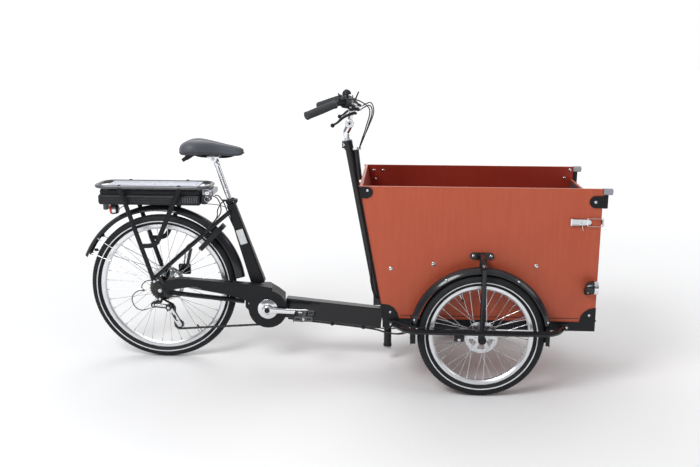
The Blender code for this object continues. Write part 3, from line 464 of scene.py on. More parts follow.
def surface_values():
    """Each surface's colour, second colour, range of roughness and further values."""
    c = colours()
    paint, moulded, alloy, steel = c.paint, c.moulded, c.alloy, c.steel
    return {"gloss_paint": (paint, scaled(paint, 1.6), (0.16, 0.26),
        dict(grain=260, bump=0.00003, wear=0.35, wear_colour=(0.1, 0.1, 0.11), dust=0.02,
        coat_weight=0.25, coat_roughness=0.08, specular_ior_level=0.3)),
        "satin_paint": (paint, scaled(paint, 1.6), (0.36, 0.5), dict(grain=700, bump=0.00004,
        wear=0.5, wear_colour=(0.09, 0.09, 0.1), dust=0.02, specular_ior_level=0.25)),
        "pale_paint": ((0.07, 0.072, 0.08), (0.09, 0.092, 0.102), (0.24, 0.36),
        dict(grain=500, wear=0.5, coat_weight=0.4, coat_roughness=0.2)),
        "gloss_moulded": (moulded, scaled(moulded, 1.6), (0.14, 0.24),
        dict(grain=120, bump=0.00003, dust=0.04, coat_weight=0.35, coat_roughness=0.06,
        specular_ior_level=0.3)), "moulded": (moulded, scaled(moulded, 1.6), (0.42, 0.56),
        dict(grain=600, bump=0.00007, pebbles=900, wear=0.5, wear_colour=(0.07, 0.07, 0.075),
        dust=0.03, specular_ior_level=0.3)), "grey_moulded": ((0.075, 0.078, 0.086),
        (0.095, 0.098, 0.108), (0.38, 0.5), dict(pebbles=700, bump=0.00006, dust=0.05)),
        "rubber": (c.rubber, scaled(c.rubber, 2), (0.62, 0.85), dict(grain=520, bump=0.00012,
        wear=0.4, wear_colour=(0.04, 0.04, 0.042), dust=0.07, edge_width=0.0006,
        specular_ior_level=0.25)), "stripe": (c.stripe, scaled(c.stripe, 0.86), (0.32, 0.5),
        dict(grain=900, mottle=30, bump=0.00003)), "rim_alloy": (alloy, scaled(alloy, 0.86),
        (0.26, 0.42), dict(grain=220, bump=0.00002, metallic=1)), "polished_alloy": (alloy,
        scaled(alloy, 0.92), (0.1, 0.2), dict(grain=160, stretch=(0.2, 1, 1), bump=0.00001,
        metallic=1)), "bright_steel": (steel, scaled(steel, 0.85), (0.16, 0.3),
        dict(grain=300, stretch=(0.3, 1, 1), bump=0.000015, metallic=1, edge_width=0.0005)),
        "disc_steel": (steel, scaled(steel, 0.8), (0.2, 0.36), dict(grain=500, mottle=40,
        bump=0.00002, metallic=1, edge_width=0.0004)), "chrome": ((0.84, 0.85, 0.87),
        (0.76, 0.77, 0.79), (0.04, 0.1), dict(grain=60, bump=0.000008, metallic=1)),
        "dark_steel": ((0.15, 0.125, 0.1), (0.08, 0.066, 0.055), (0.28, 0.46),
        dict(grain=700, mottle=50, specks=0.6, bump=0.00003, metallic=1, edge_width=0.0003)),
        "oiled_steel": ((0.088, 0.084, 0.08), (0.045, 0.043, 0.042), (0.25, 0.42),
        dict(grain=700, mottle=60, specks=0.7, metallic=0.9, edge_width=0.0004)),
        "dock_alloy": ((0.3, 0.31, 0.34), (0.36, 0.37, 0.4), (0.3, 0.42),
        dict(grain=420, metallic=0.7, wear=0.4)), "carrier_plate": (c.plate, scaled(c.plate, 0.93),
        (0.3, 0.42), dict(grain=260, stretch=(0.12, 1, 1), bump=0.00002, metallic=0.55, dust=0.05)),
        "skin": (c.skin, scaled(c.skin, 1.4), (0.42, 0.56), dict(pebbles=620, bump=0.00022,
        mottle=9, dust=0.07, sheen_weight=0.15, sheen_roughness=0.4)),
        "thread": ((0.028, 0.028, 0.031), (0.05, 0.05, 0.055), (0.6, 0.8),
        dict(grain=1500, bump=0.0001)), "grip": (c.grip, scaled(c.grip, 1.35), (0.5, 0.66),
        dict(pebbles=1100, bump=0.0001, dust=0.08)), "cable": ((0.012, 0.012, 0.0135),
        (0.02, 0.02, 0.022), (0.26, 0.36), dict(grain=420, bump=0.00002)),
        "reflector": ((0.27, 0.28, 0.31), (0.36, 0.37, 0.4), (0.12, 0.2),
        dict(pebbles=420, bump=0.0004, coat_weight=0.8, coat_roughness=0.05)),
        "red_lens": (c.red, scaled(c.red, 0.75), (0.08, 0.14), dict(pebbles=360, bump=0.0004,
        coat_weight=0.25, coat_roughness=0.1)), "label": ((0.6, 0.62, 0.63), (0.52, 0.54, 0.55),
        (0.22, 0.34), dict(grain=900, bump=0.00001, mottle=14, metallic=0.35)),}


def make_finish(name):
    """Builds one of the bicycle's finishes by name."""
    values = surface_values()
    if name in values:
        base, second, rough, further = values[name]
        return surface(name, base, second, rough, **further)
    c = colours()
    if name == "floor":
        made = surface(name, c.floor, scaled(c.floor, 0.985), (0.55, 0.7), grain=14, mottle=1.2,
            specks=0.1, bump=0.0001, emission_strength=1)
        tree = made.node_tree
        # Painted glow: the floor gives off light that grows with distance, so that far away it fades
        # into the white background.
        away = add(tree, "VectorMath", {0: object_place(tree)}, operation="LENGTH")
        glow = ramp(tree, away.outputs["Value"], 1, 5.5, 0.45)
        tree.links.new(glow, tree.nodes["Principled BSDF"].inputs["Emission Color"])
        return made
    if name == "clear":
        return clear_lens(name, (0.93, 0.95, 0.97))
    if name == "antislip":
        return wire_mesh_film(name, (0.06, 0.054, 0.058))
    # The last value of each board says which faces take the darker inner film, painted shade inside
    # the box.
    boards = {"side_board": ((0, 1, 0), (6, 1, 0.5), None), "rear_board": ((0.983, 0, 0.184),
        (1, 0.5, 5), (1, 0, 0)), "door_board": ((1, 0, 0), (1, 0.5, 5), (-1, 0, 0)),
        "level_board": ((0, 0, 1), (0.5, 5, 1), (0, 0, 1)),}
    return plywood(name, c.film, c.shaded_film_inside, *boards[name])


def material(name):
    """The finish of that name, built the first time that it is asked for."""
    return bpy.data.materials.get("finish_" + name) or named(make_finish(name), "finish_" + name)


def named(thing, name):
    thing.name = name
    return thing


# ---- shapes --------------------------------------------------------------------------------------
def square_to(axis):
    """Two unit vectors square to axis and to each other."""
    helper = Vector((0, 0, 1)) if abs(axis.z) < 0.9 * axis.length else Vector((1, 0, 0))
    first = axis.cross(helper).normalized()
    return first, axis.normalized().cross(first)


def circle(centre, radius, count, first=0, turn=2 * pi):
    """Points of a flat circle, or of an arc where turn is under a full one."""
    last = count if abs(turn) >= 2 * pi - 1e-6 else count - 1
    return [(centre[0] + radius * cos(first + turn * i / last), centre[1]
        + radius * sin(first + turn * i / last)) for i in range(count)]


def stadium(start, end, start_radius, end_radius, count=8):
    """A flat outline around two circles."""
    a, b = Vector(start), Vector(end)
    way = atan2((b - a).y, (b - a).x)
    ahead = circle(b, end_radius, count, way - pi / 2, pi)
    return ahead + circle(a, start_radius, count, way + pi / 2, pi)


def toothed(centre, pitch_radius, teeth, depth=0.003):
    """The outline of a chain sprocket."""
    points = []
    for i in range(teeth):
        middle_angle = 2 * pi * i / teeth
        step = 2 * pi / teeth
        for share, reach in ((-0.42, -depth), (-0.2, -0.2 * depth), (-0.07, 0.45 * depth),
                (0.07, 0.45 * depth), (0.2, -0.2 * depth), (0.42, -depth)):
            angle = middle_angle + share * step
            points.append((centre[0] + (pitch_radius + reach) * cos(angle),
                centre[1] + (pitch_radius + reach) * sin(angle)))
    return points


def smooth_route(points, count=6):
    """A smooth curve through the points, with count steps between two of them."""
    pts = [Vector(p) for p in points]
    ends = [2 * pts[0] - pts[1]] + pts + [2 * pts[-1] - pts[-2]]
    route = []
    for i in range(len(pts) - 1):
        a, b, c, d = ends[i:i + 4]
        for k in range(count):
            t = k / count
            route.append(0.5 * (2 * b + (c - a) * t + (2 * a - 5 * b + 4 * c - d) * t * t
                + (3 * b - a - 3 * c + d) * t ** 3))
    return route + [pts[-1]]


def curve(points, count=6):
    """A smooth curve through places that are measured from the rear axle."""
    return [at(*p) for p in smooth_route(points, count)]


def around(radius, angle, y=0):
    """A step from a wheel's axle, at an angle in the wheel's plane."""
    return Vector((radius * cos(angle), y, radius * sin(angle)))


def hole_ring(radius, count, size, steps, first=0):
    """Outlines of round holes, evenly round a centre."""
    turns = (2 * pi * (k + first) / count for k in range(count))
    return [circle((radius * cos(a), radius * sin(a)), size, steps) for a in turns]


class Shape:
    """Collects the mesh of one piece. Each form takes the number of one of its finishes."""

    def __init__(self, *finishes):
        self.bm = bmesh.new()
        self.finishes = finishes

    def strip(self, rings, around=True, along=False, caps=True, finish=0):
        """Faces between rings of equally many points. around closes each ring, and along joins
        the last ring to the first. finish may be a function of a point's place in its ring."""
        rows = [[self.bm.verts.new(p) for p in ring] for ring in rings]
        following = rows[1:] + rows[:1] if along else rows[1:]
        for a, b in zip(rows, following):
            for i in range(len(a) if around else len(a) - 1):
                k = (i + 1) % len(a)
                face = self.bm.faces.new((a[i], a[k], b[k], b[i]))
                face.material_index = finish(i) if callable(finish) else finish
        if caps and around and not along:
            for row in (rows[0], rows[-1]):
                self.bm.faces.new(row).material_index = 0 if callable(finish) else finish

    def lathe(self, profile, centre, axis=(0, 1, 0), steps=24, closed=False, arc=None, start=0,
            finish=0, shift=None):
        """Turns a profile of (radius, height) about an axis. shift(step, point) moves a radius."""
        axis = Vector(axis).normalized()
        if abs(axis.y) > 0.999:
            u, v = Vector((1, 0, 0)), Vector((0, 0, 1))
        else:
            u, v = square_to(axis)
        centre = Vector(centre)
        count = steps + 1 if arc else steps
        rings = []
        for k in range(count):
            angle = start + (arc or 2 * pi) * k / steps
            way = u * cos(angle) + v * sin(angle)
            rings.append([centre + way * (r + (shift(k, i) if shift else 0)) + axis * h for i,
                (r, h) in enumerate(profile)])
        self.strip(rings, around=closed, along=not arc, caps=bool(arc), finish=finish)

    def sweep(self, path, radius, sides=12, closed=False, flat=1, up=None, finish=0):
        """A tube along a path. radius may be one value for each point; flat squeezes it along up."""
        pts = [Vector(p) for p in path]
        radii = radius if isinstance(radius, (list, tuple)) else [radius] * len(pts)
        ways = []
        for i, p in enumerate(pts):
            before = pts[i - 1] if i or closed else p
            after = pts[(i + 1) % len(pts)] if i < len(pts) - 1 or closed else p
            ways.append((after - before).normalized())
        side = Vector(up).cross(ways[0]).normalized() if up else square_to(ways[0])[0]
        rings = []
        for p, way, r in zip(pts, ways, radii):
            side = (Vector(up).cross(way) if up else side - way * side.dot(way)).normalized()
            other = way.cross(side)
            rings.append([p + side * r * cos(2 * pi * k / sides) + other * r * flat
                * sin(2 * pi * k / sides) for k in range(sides)])
        self.strip(rings, along=closed, finish=finish)

    def rod(self, start, end, radius, end_radius=None, sides=16, round_edge=0, finish=0):
        """A straight round rod, with its rims rounded off by round_edge."""
        a, b = Vector(start), Vector(end)
        size = (b - a).length
        last = radius if end_radius is None else end_radius
        e = round_edge
        profile = [(0, 0), (radius, 0), (last, size), (0, size)]
        if e:
            profile = [(0, 0), (radius - e, 0), (radius, e), (last, size - e), (last - e, size),
                (0, size)]
        self.lathe(profile, a, b - a, sides, finish=finish)

    def slab(self, outlines, low, high, plane="XZ", place=None, finish=0):
        """A flat piece from low to high, from an outline and those of its holes."""
        curve = bpy.data.curves.new("outline", "CURVE")
        curve.dimensions = "2D"
        curve.fill_mode = "BOTH"
        curve.extrude = (high - low) / 2
        for outline in outlines:
            spline = curve.splines.new("POLY")
            spline.points.add(len(outline) - 1)
            for point, (u, v) in zip(spline.points, outline):
                point.co = (u, v, 0, 1)
            spline.use_cyclic_u = True
        holder = bpy.data.objects.new("outline", curve)
        mesh = bpy.data.meshes.new_from_object(holder)
        half = (high + low) / 2
        turn = {"XZ": lambda p: (p.x, half + p.z, p.y), "YZ": lambda p: (half + p.z, p.x, p.y),
            "XY": lambda p: (p.x, p.y, half + p.z)}[plane]
        for vertex in mesh.vertices:
            vertex.co = turn(vertex.co)
        if place is not None:
            mesh.transform(place)
        self.take(mesh, finish)
        bpy.data.objects.remove(holder)
        bpy.data.curves.remove(curve)

    def take(self, mesh, finish):
        """Adds a mesh's faces and drops the mesh."""
        mesh.materials.clear()
        before = len(self.bm.faces)
        self.bm.from_mesh(mesh)
        self.bm.faces.ensure_lookup_table()
        for face in self.bm.faces[before:]:
            face.material_index = finish
        bpy.data.meshes.remove(mesh)

    def block(self, low, high, bevel=0, segments=2, place=None, finish=0):
        """A box between two corners with rounded edges."""
        low, high = Vector(low), Vector(high)
        bm = bmesh.new()
        bmesh.ops.create_cube(bm, size=1)
        scale = Matrix.Diagonal((*[abs(c) for c in high - low], 1))
        bm.transform(Matrix.Translation((low + high) / 2) @ scale)
        if bevel:
            bmesh.ops.bevel(bm, geom=bm.edges[:], offset=bevel, offset_type="OFFSET",
                segments=segments, profile=0.5, affect="EDGES")
        if place is not None:
            bm.transform(place)
        mesh = bpy.data.meshes.new("block")
        bm.to_mesh(mesh)
        bm.free()
        self.take(mesh, finish)

    def bar(self, start, end, width, height, bevel=0, segments=2, finish=0):
        """A box from start to end, width across and height up."""
        start, end = Vector(start), Vector(end)
        way = end - start
        along = way.normalized()
        side = Vector((0, 0, 1)).cross(along)
        side = side.normalized() if side.length > 1e-6 else aside(1)
        top = along.cross(side)
        place = Matrix((along, side, top)).transposed().to_4x4()
        place.translation = (start + end) / 2
        half = Vector((way.length, width, height)) / 2
        self.block(-half, half, bevel, segments, place, finish)

    def dome(self, point, way, radius, height=None, finish=0, steps=14):
        """A rounded rivet or carriage bolt head that stands on a surface."""
        h = height or 0.55 * radius
        profile = [(radius, -0.0003), (radius, 0.12 * h)]
        profile += [(radius * cos(a), 0.12 * h + 0.88 * h * sin(a))
            for a in (pi * k / 8 for k in range(1, 4))] + [(0, h)]
        self.lathe([(0, -0.0003)] + profile, point, way, steps, finish=finish)

    def screw(self, point, way, radius, height=None, finish=0):
        """A socket head screw on a washer."""
        h = height or 0.8 * radius
        self.lathe([(0, -0.0003), (1.35 * radius, -0.0003), (1.35 * radius, 0.14 * h),
            (radius, 0.16 * h), (radius, 0.86 * h), (0.86 * radius, h), (0.5 * radius, h),
            (0.46 * radius, 0.45 * h), (0, 0.42 * h)], point, way, 12, finish=finish)

    def nut(self, point, way, radius, height, finish=0):
        """A six-sided nut with a domed end."""
        self.lathe([(0, 0), (radius, 0), (radius, 0.8 * height), (0.86 * radius, height),
            (0, height)], point, way, 6, finish=finish)
        self.lathe([(0, 0.9 * height), (0.55 * radius, 0.9 * height), (0.5 * radius, 1.25 * height),
            (0, 1.35 * height)], point, way, 12, finish=finish)

    def piece(self, name, body, replaces=(), sharp=34, levels=0, ride=True):
        """Makes the object, gives it its finishes and lets it ride on a body of the frame."""
        bmesh.ops.remove_doubles(self.bm, verts=self.bm.verts[:], dist=1e-6)
        bmesh.ops.recalc_face_normals(self.bm, faces=self.bm.faces[:])
        mesh = bpy.data.meshes.new(name)
        self.bm.to_mesh(mesh)
        self.bm.free()
        for finish in self.finishes:
            mesh.materials.append(material(finish))
        mesh.shade_smooth()
        mesh.set_sharp_from_angle(angle=radians(sharp))
        obj = bpy.data.objects.new(name, mesh)
        bpy.context.scene.collection.objects.link(obj)
        if levels:
            smooth = obj.modifiers.new("Rounding", "SUBSURF")
            smooth.levels = smooth.render_levels = levels
        else:
            even_shading(obj)
        if ride:
            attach(obj, body)
        for node in replaces:
            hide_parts(node)
        return obj


def even_shading(obj):
    """Keeps flat faces flat beside small bevels."""
    even = obj.modifiers.new("Even shading", "WEIGHTED_NORMAL")
    even.keep_sharp = True


def dress(node, finish, sharp=34):
    """Gives a node of the frame its finish and smooth shading over its round faces."""
    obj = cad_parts[node]
    mesh = obj.data
    mesh.materials.clear()
    mesh.materials.append(material(finish))
    custom = mesh.attributes.get("custom_normal")
    if custom:
        mesh.attributes.remove(custom)
    mesh.shade_smooth()
    weld = obj.modifiers.new("Weld", "WELD")
    weld.merge_threshold = 0.00001
    split = obj.modifiers.new("Crisp edges", "EDGE_SPLIT")
    split.split_angle = radians(sharp)
    even_shading(obj)


# ---- wheels --------------------------------------------------------------------------------------
WHEELS = (
    # tyre node, wheel node, body, rim from and to, disc height and radius, flange heights
    ("rear_tyre", "rear_wheel", "rear_wheel", (0.264, 0.286), 0.0502, 0.08, (0.0295, -0.0295)),
    ("front_tyre_right", "front_wheel_right", "front_wheel_right", (0.19, 0.209), -0.0271, 0.066,
     (-0.0235, 0.0195)),
    ("front_tyre_left", "front_wheel_left", "front_wheel_left", (0.19, 0.209), 0.0271, 0.066,
     (0.0235, -0.0195)),
)
TYRE_HALF = 0.0235
CROSSING = radians(60)      # how far a laced spoke leans round the hub


def build_tyre(tyre, body, rim, stripe):
    """A tyre with a grooved tread and a reflecting stripe on each side wall."""
    centre, outer = middle(tyre), radius_of(tyre)
    core = outer - TYRE_HALF
    blocks = round(2 * pi * outer / sizes().tread_pitch)
    angles = [-118, -112, -104, -97, -85, -70, -56, -50, -40, -32, -22, -18, -14, -8, -6, 0]
    angles = angles + [-a for a in reversed(angles[:-1])]
    marks = [degrees(acos((r - core) / TYRE_HALF)) for r in stripe]
    angles = sorted(angles + marks + [-m for m in marks])
    section = [(core + TYRE_HALF * cos(radians(a)), 0.025 * sin(radians(a))) for a in angles]
    bead = [(rim[1] + 0.0012, 0.0135), (rim[1] + 0.0004, 0.0095), (rim[1] + 0.004, 0.007)]
    section = [(r, -y) for r, y in reversed(bead)] + section + bead
    depth = sizes().tread_depth
    grooves = {i + len(bead): abs(a) for i, a in enumerate(angles)}

    def tread(step, i):
        """How far the groove pattern cuts in at this point."""
        a = grooves.get(i, 180)
        if 17 <= a <= 23 or 5 <= a <= 7:
            return -depth
        if a < 52 and (step + (1 if a > 30 else 0)) % 4 == 0:
            return -0.7 * depth
        return 0

    low, high = sorted(marks)

    def side(i):
        """The stripe's finish between its two rims."""
        if i + 1 not in grooves or i not in grooves:
            return 0
        between = (grooves[i] + grooves[i + 1]) / 2
        return 1 if low < between < high else 0

    shape = Shape("rubber", "stripe")
    shape.lathe(section, centre, steps=4 * blocks, closed=True, finish=side, shift=tread)
    shape.piece(tyre + "_treaded", body, [tyre], sharp=40)


def build_rim(wheel, centre, body, rim):
    """A double-walled rim with its valve and nipples."""
    low, high = rim
    shape = Shape("rim_alloy", "bright_steel", "cable")
    profile = [(high, -0.012), (high - 0.0004, -0.0098), (high - 0.005, -0.0085), (high - 0.007, 0),
        (high - 0.005, 0.0085), (high - 0.0004, 0.0098), (high, 0.012), (high - 0.0115, 0.0118),
        (low + 0.005, 0.01), (low + 0.001, 0.006), (low, 0), (low + 0.001, -0.006),
        (low + 0.005, -0.01), (high - 0.0115, -0.0118)]
    shape.lathe(profile, centre, steps=144, closed=True)
    valve = radians(-52 if "rear" in wheel else 118)
    way = around(1, valve)
    shape.rod(centre + way * (low - 0.02), centre + way * (low + 0.002), 0.0028, finish=1, sides=10)
    shape.rod(centre + way * (low - 0.034), centre + way * (low - 0.019), 0.0042, finish=2,
        sides=10, round_edge=0.001)
    shape.piece(wheel + "_rim", body, [wheel])


def build_spokes(wheel, centre, body, rim, flanges, count):
    """Laced spokes with their nipples, three crossings each."""
    shape = Shape("bright_steel")
    thick = sizes().spoke
    for i in range(count):
        angle = 2 * pi * (i + 0.5) / count
        lean = CROSSING if (i // 2) % 2 else -CROSSING
        flange = flanges[i % 2] + (0.0016 if (i // 2) % 2 else -0.0016)
        foot = centre + around(0.0245, angle + lean, flange)
        way = around(1, angle)
        tip = centre + way * (rim[0] + 0.001)
        shape.sweep([foot, foot.lerp(tip, 0.5), tip], thick, sides=6)
        near = tip.lerp(foot, 0.012 / (tip - foot).length)
        shape.rod(near, tip, 1.9 * thick, 2.3 * thick, sides=8)
        shape.dome(foot, aside(1 if flange > flanges[i % 2] else -1), 2.2 * thick, steps=8)
    shape.piece(wheel + "_spokes", body)


def build_hub(wheel, centre, body, flanges, disc, disc_radius):
    """A hub shell with drilled flanges, its axle ends, and the drilled brake disc."""
    outward = 1 if disc > 0 else -1
    shape = Shape("polished_alloy", "bright_steel", "moulded")
    shell = 0.0165
    for f in flanges:
        rim_hub = [(shell, f - 0.006), (0.024, f - 0.0032), (0.0285, f - 0.0022),
            (0.0285, f + 0.0022), (0.024, f + 0.0032), (shell, f + 0.006), (0.006, f + 0.006),
            (0.006, f - 0.006)]
        shape.lathe(rim_hub, centre, steps=48, closed=True)
    a, b = sorted(flanges)
    waist = [(shell, a), (shell - 0.002, a + 0.3 * (b - a)), (shell - 0.002, a + 0.7 * (b - a)),
        (shell, b)]
    shape.lathe([(0, a)] + waist + [(0, b)], centre, steps=40)
    if "rear" in wheel:
        shape.rod(centre + aside(0.03), centre + aside(0.0485), 0.02, 0.018, 32)
        for s in (-1, 1):
            shape.rod(centre + aside(s * 0.05), centre + aside(s * 0.0665), 0.0078, sides=20,
                finish=1)
            shape.rod(centre + aside(s * 0.066), centre + aside(s * 0.082), 0.0049, sides=16,
                finish=1)
            shape.nut(centre + aside(s * 0.0738), (0, s, 0), 0.0098, 0.0075, finish=1)
    else:
        shape.rod(centre + aside(outward * 0.0285), centre + aside(outward * 0.045), 0.0125, 0.009,
            28, round_edge=0.001)
        shape.rod(centre - aside(outward * 0.024), centre - aside(outward * 0.0515), 0.013, 0.009,
            28, round_edge=0.001)
    shape.piece(wheel + "_hub", body)

    ring = disc_radius - 0.0165
    outlines = [circle((0, 0), disc_radius, 96)]
    arms = 6
    for k in range(arms):
        first = 2 * pi * k / arms + 0.1
        turn = 2 * pi / arms - 0.2
        window = circle((0, 0), ring, 9, first + 0.05, turn - 0.1)
        window += list(reversed(circle((0, 0), 0.0235, 5, first + 0.28, turn - 0.42)))
        outlines.append(window)
    for k in range(30):
        angle = 2 * pi * k / 30
        away = disc_radius - (0.0045, 0.0085, 0.0125)[k % 3]
        outlines.append(circle((away * cos(angle), away * sin(angle)), 0.0022, 8))
    outlines.append(circle((0, 0), 0.0095, 20))
    shape = Shape("disc_steel", "bright_steel")
    shape.slab(outlines, disc - 0.0009, disc + 0.0009, place=Matrix.Translation(centre))
    for k in range(6):
        angle = 2 * pi * k / 6
        at_bolt = centre + around(0.0185, angle, disc + outward * 0.0009)
        shape.screw(at_bolt, (0, outward, 0), 0.0026, 0.002, finish=1)
    shape.piece(wheel + "_disc", body)


class BIKE_OT_wheels(Operator):
    """Tyres, rims, laced spokes, hubs and brake discs of the three wheels"""
    bl_idname = "cargo_bike.wheels"
    bl_label = "Wheels"

    def execute(self, context):
        for tyre, wheel, body, rim, disc, disc_radius, flanges in WHEELS:
            centre = middle(tyre)
            rear = tyre == "rear_tyre"
            build_tyre(tyre, body, rim, (0.2992, 0.3036) if rear else (0.2222, 0.2262))
            build_rim(wheel, centre, body, rim)
            count = sizes().rear_spokes if rear else sizes().front_spokes
            build_spokes(wheel, centre, body, rim, flanges, count)
            build_hub(wheel, centre, body, flanges, disc, disc_radius)
        return {"FINISHED"}


# ---- drive ---------------------------------------------------------------------------------------
CHAIN_Y = -0.056
PULLEYS = ((0.036, 0.243), (0.078, 0.17))
RING_RADIUS = 0.0775
SPROCKETS = (0.0567, 0.0507, 0.0466, 0.0426, 0.0385, 0.0375, 0.0285, 0.0245)


def chain_line():
    """Points of the chain's centre line round the ring, the cassette and the two pulleys, as
    (x, z) from the rear axle, equally far apart, one for each pin."""
    circles = [(CRANK.x - REAR.x, CRANK.z, RING_RADIUS, 1), (0, REAR.z, SPROCKETS[5], 1),
        (*PULLEYS[0], 0.0222, -1), (*PULLEYS[1], 0.0222, 1)]
    lines = []
    for (x1, z1, r1, s1), (x2, z2, r2, s2) in zip(circles, circles[1:] + circles[:1]):
        way = Vector((x2 - x1, z2 - z1))
        angle = atan2(way.y, way.x) - asin((s2 * r2 - s1 * r1) / way.length)
        normal = Vector((-sin(angle), cos(angle)))
        lines.append((Vector((x1, z1)) - s1 * r1 * normal, Vector((x2, z2)) - s2 * r2 * normal))
    route = []
    for i, (x, z, radius, turn) in enumerate(circles):
        centre = Vector((x, z))
        arrive, leave = lines[i - 1][1] - centre, lines[i][0] - centre
        first = atan2(arrive.y, arrive.x)
        sweep = (turn * (atan2(leave.y, leave.x) - first)) % (2 * pi)
        route += [centre + radius * Vector((cos(first + turn * sweep * k / 40),
            sin(first + turn * sweep * k / 40))) for k in range(41)]
        route += [lines[i][0].lerp(lines[i][1], k / 40) for k in range(1, 40)]
    total = sum((b - a).length for a, b in zip(route, route[1:] + route[:1]))
    count = 2 * round(total / sizes().chain_pitch / 2)
    pins, want, done = [], 0, 0
    for a, b in zip(route, route[1:] + route[:1]):
        gap = (b - a).length
        while len(pins) < count and want <= done + gap and gap > 0:
            pins.append(a.lerp(b, (want - done) / gap))
            want += total / count
        done += gap
    return pins


class BIKE_OT_chain(Operator):
    """Chain links, with outer and inner plates, rollers and pins"""
    bl_idname = "cargo_bike.chain"
    bl_label = "Chain"

    def execute(self, context):
        shape = Shape("oiled_steel")
        pins = chain_line()
        for i, pin in enumerate(pins):
            following = pins[(i + 1) % len(pins)]
            reach = 0.00285 if i % 2 else 0.0019
            outline = stadium(pin, following, 0.004, 0.004, 6)
            for side in (-1, 1):
                y = CHAIN_Y + side * reach
                shape.slab([outline], y - 0.0004, y + 0.0004, place=FROM_REAR)
            shape.rod(at(pin.x, CHAIN_Y - 0.0035, pin.y), at(pin.x, CHAIN_Y + 0.0035, pin.y),
                0.0016, sides=6)
            shape.rod(at(pin.x, CHAIN_Y - 0.0014, pin.y), at(pin.x, CHAIN_Y + 0.0014, pin.y),
                0.0036, sides=10)
        shape.piece("chain_links", "main_frame", ["chain"])
        return {"FINISHED"}


def crank_arms_and_ring():
    """Disc, arms, axle and chainring."""
    low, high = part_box("crankset")
    right, left = middle("pedal_right"), middle("pedal_left")
    shape = Shape("polished_alloy", "moulded", "bright_steel", "satin_paint")
    shape.lathe([(0, -0.03), (0.047, -0.03), (0.0465, -0.035), (0.044, -0.0385), (0.03, -0.042),
        (0.024, -0.0425), (0.0225, -0.04), (0, -0.04)], CRANK + aside(-0.045), steps=72)
    for side, pedal in ((-1, right), (1, left)):
        foot = CRANK + aside(side * 0.0985)
        tip = Vector((pedal.x, side * 0.0985, pedal.z))
        way = tip - foot
        rings = []
        for share, half, thick in ((-0.115, 0.006, 0.004), (-0.095, 0.0125, 0.0062),
                (-0.04, 0.0175, 0.0072), (0.03, 0.018, 0.0074), (0.12, 0.014, 0.0072),
                (0.3, 0.0118, 0.0068), (0.6, 0.0104, 0.0064), (0.88, 0.0112, 0.0064),
                (1, 0.0128, 0.0066), (1.06, 0.0104, 0.006), (1.085, 0.005, 0.004)):
            spot = foot + way * share
            across = way.normalized().cross(aside(1))
            rings.append([spot + across * half * copysign(abs(cos(a)) ** 0.7, cos(a))
                + aside(1) * thick * copysign(abs(sin(a)) ** 0.6, sin(a))
                for a in (2 * pi * k / 20 for k in range(20))])
        shape.strip(rings)
        shape.lathe([(0, 0), (0.0118, 0), (0.0112, 0.0026), (0.0065, 0.0032), (0.006, 0.0016),
            (0, 0.0014)], foot + aside(side * 0.0068), (0, side, 0), 28, finish=1)
        shape.rod(tip + aside(side * 0.003), tip + aside(side * 0.016), 0.0078, sides=6, finish=2)
        shape.rod(tip + aside(side * 0.01), tip + aside(side * 0.094), 0.005, sides=16, finish=2)
    shape.rod(CRANK - aside(0.1), CRANK + aside(0.1), 0.0098, sides=28, finish=2)
    teeth = round(2 * pi * RING_RADIUS / sizes().chain_pitch)
    holes = hole_ring(0.058, 8, 0.0065, 14)
    shape.slab([toothed((0, 0), RING_RADIUS, teeth)] + holes, CHAIN_Y - 0.001, CHAIN_Y + 0.001,
        place=Matrix.Translation(CRANK), finish=3)
    for k in range(5):
        angle = 2 * pi * k / 5 + 0.3
        shape.screw(CRANK + around(0.04, angle) + aside(CHAIN_Y + 0.001), (0, 1, 0), 0.004, 0.003,
            finish=2)
    shape.piece("crank_arms_and_ring", "crankset", ["crankset"], sharp=40)


class BIKE_OT_crankset(Operator):
    """Crank arms, chainring, silver disc and axle"""
    bl_idname = "cargo_bike.crankset"
    bl_label = "Crankset"

    def execute(self, context):
        crank_arms_and_ring()
        return {"FINISHED"}


def pedal_cage(name, side):
    """A cage pedal."""
    hub = middle("pedal_" + name)
    shape = Shape("moulded", "bright_steel", "satin_paint", "grey_moulded")
    for s in (-1, 1):
        shape.rod(hub + aside(s * 0.044), hub + aside(s * 0.01), 0.012, 0.009, 24,
            round_edge=0.0015)
    shape.rod(hub - aside(0.012), hub + aside(0.012), 0.0088, sides=24)
    for end in (-1, 1):
        cage = []
        for k in range(25):
            y = -0.046 + 0.092 * k / 24
            cage.append((y, 0.0108 + (0.003 if k % 2 else 0)))
        outline = cage + [(y, -z) for y, z in reversed(cage)]
        window = stadium((-0.02, 0), (0.02, 0), 0.0058, 0.0058, 8)
        shape.slab([outline, window], -0.0016, 0.0016, plane="YZ",
            place=Matrix.Translation(hub + Vector((end * 0.042, 0, 0))), finish=2)
    # The end plates are grey moulding, paler than the black body, as a painted highlight.
    for s in (-1, 1):
        windows = [stadium((x - 0.0055, 0), (x + 0.0055, 0), 0.0052, 0.0052, 8) for x in (-0.0245,
            0, 0.0245)]
        low, high = sorted((s * 0.042, s * 0.0455))
        shape.slab([rounded_box((-0.0415, -0.0105), (0.0415, 0.0105), 0.008)] + windows, low, high,
            place=Matrix.Translation(hub), finish=3)
    shape.nut(hub - aside(side * -0.0435), (0, side, 0), 0.0065, 0.003, finish=1)
    shape.piece("pedal_cage_" + name, "pedal_" + name, ["pedal_" + name])


class BIKE_OT_pedals(Operator):
    """Cage pedals with toothed plates and pierced ends"""
    bl_idname = "cargo_bike.pedals"
    bl_label = "Pedals"

    def execute(self, context):
        for name, side in SIDES:
            pedal_cage(name, side)
        return {"FINISHED"}


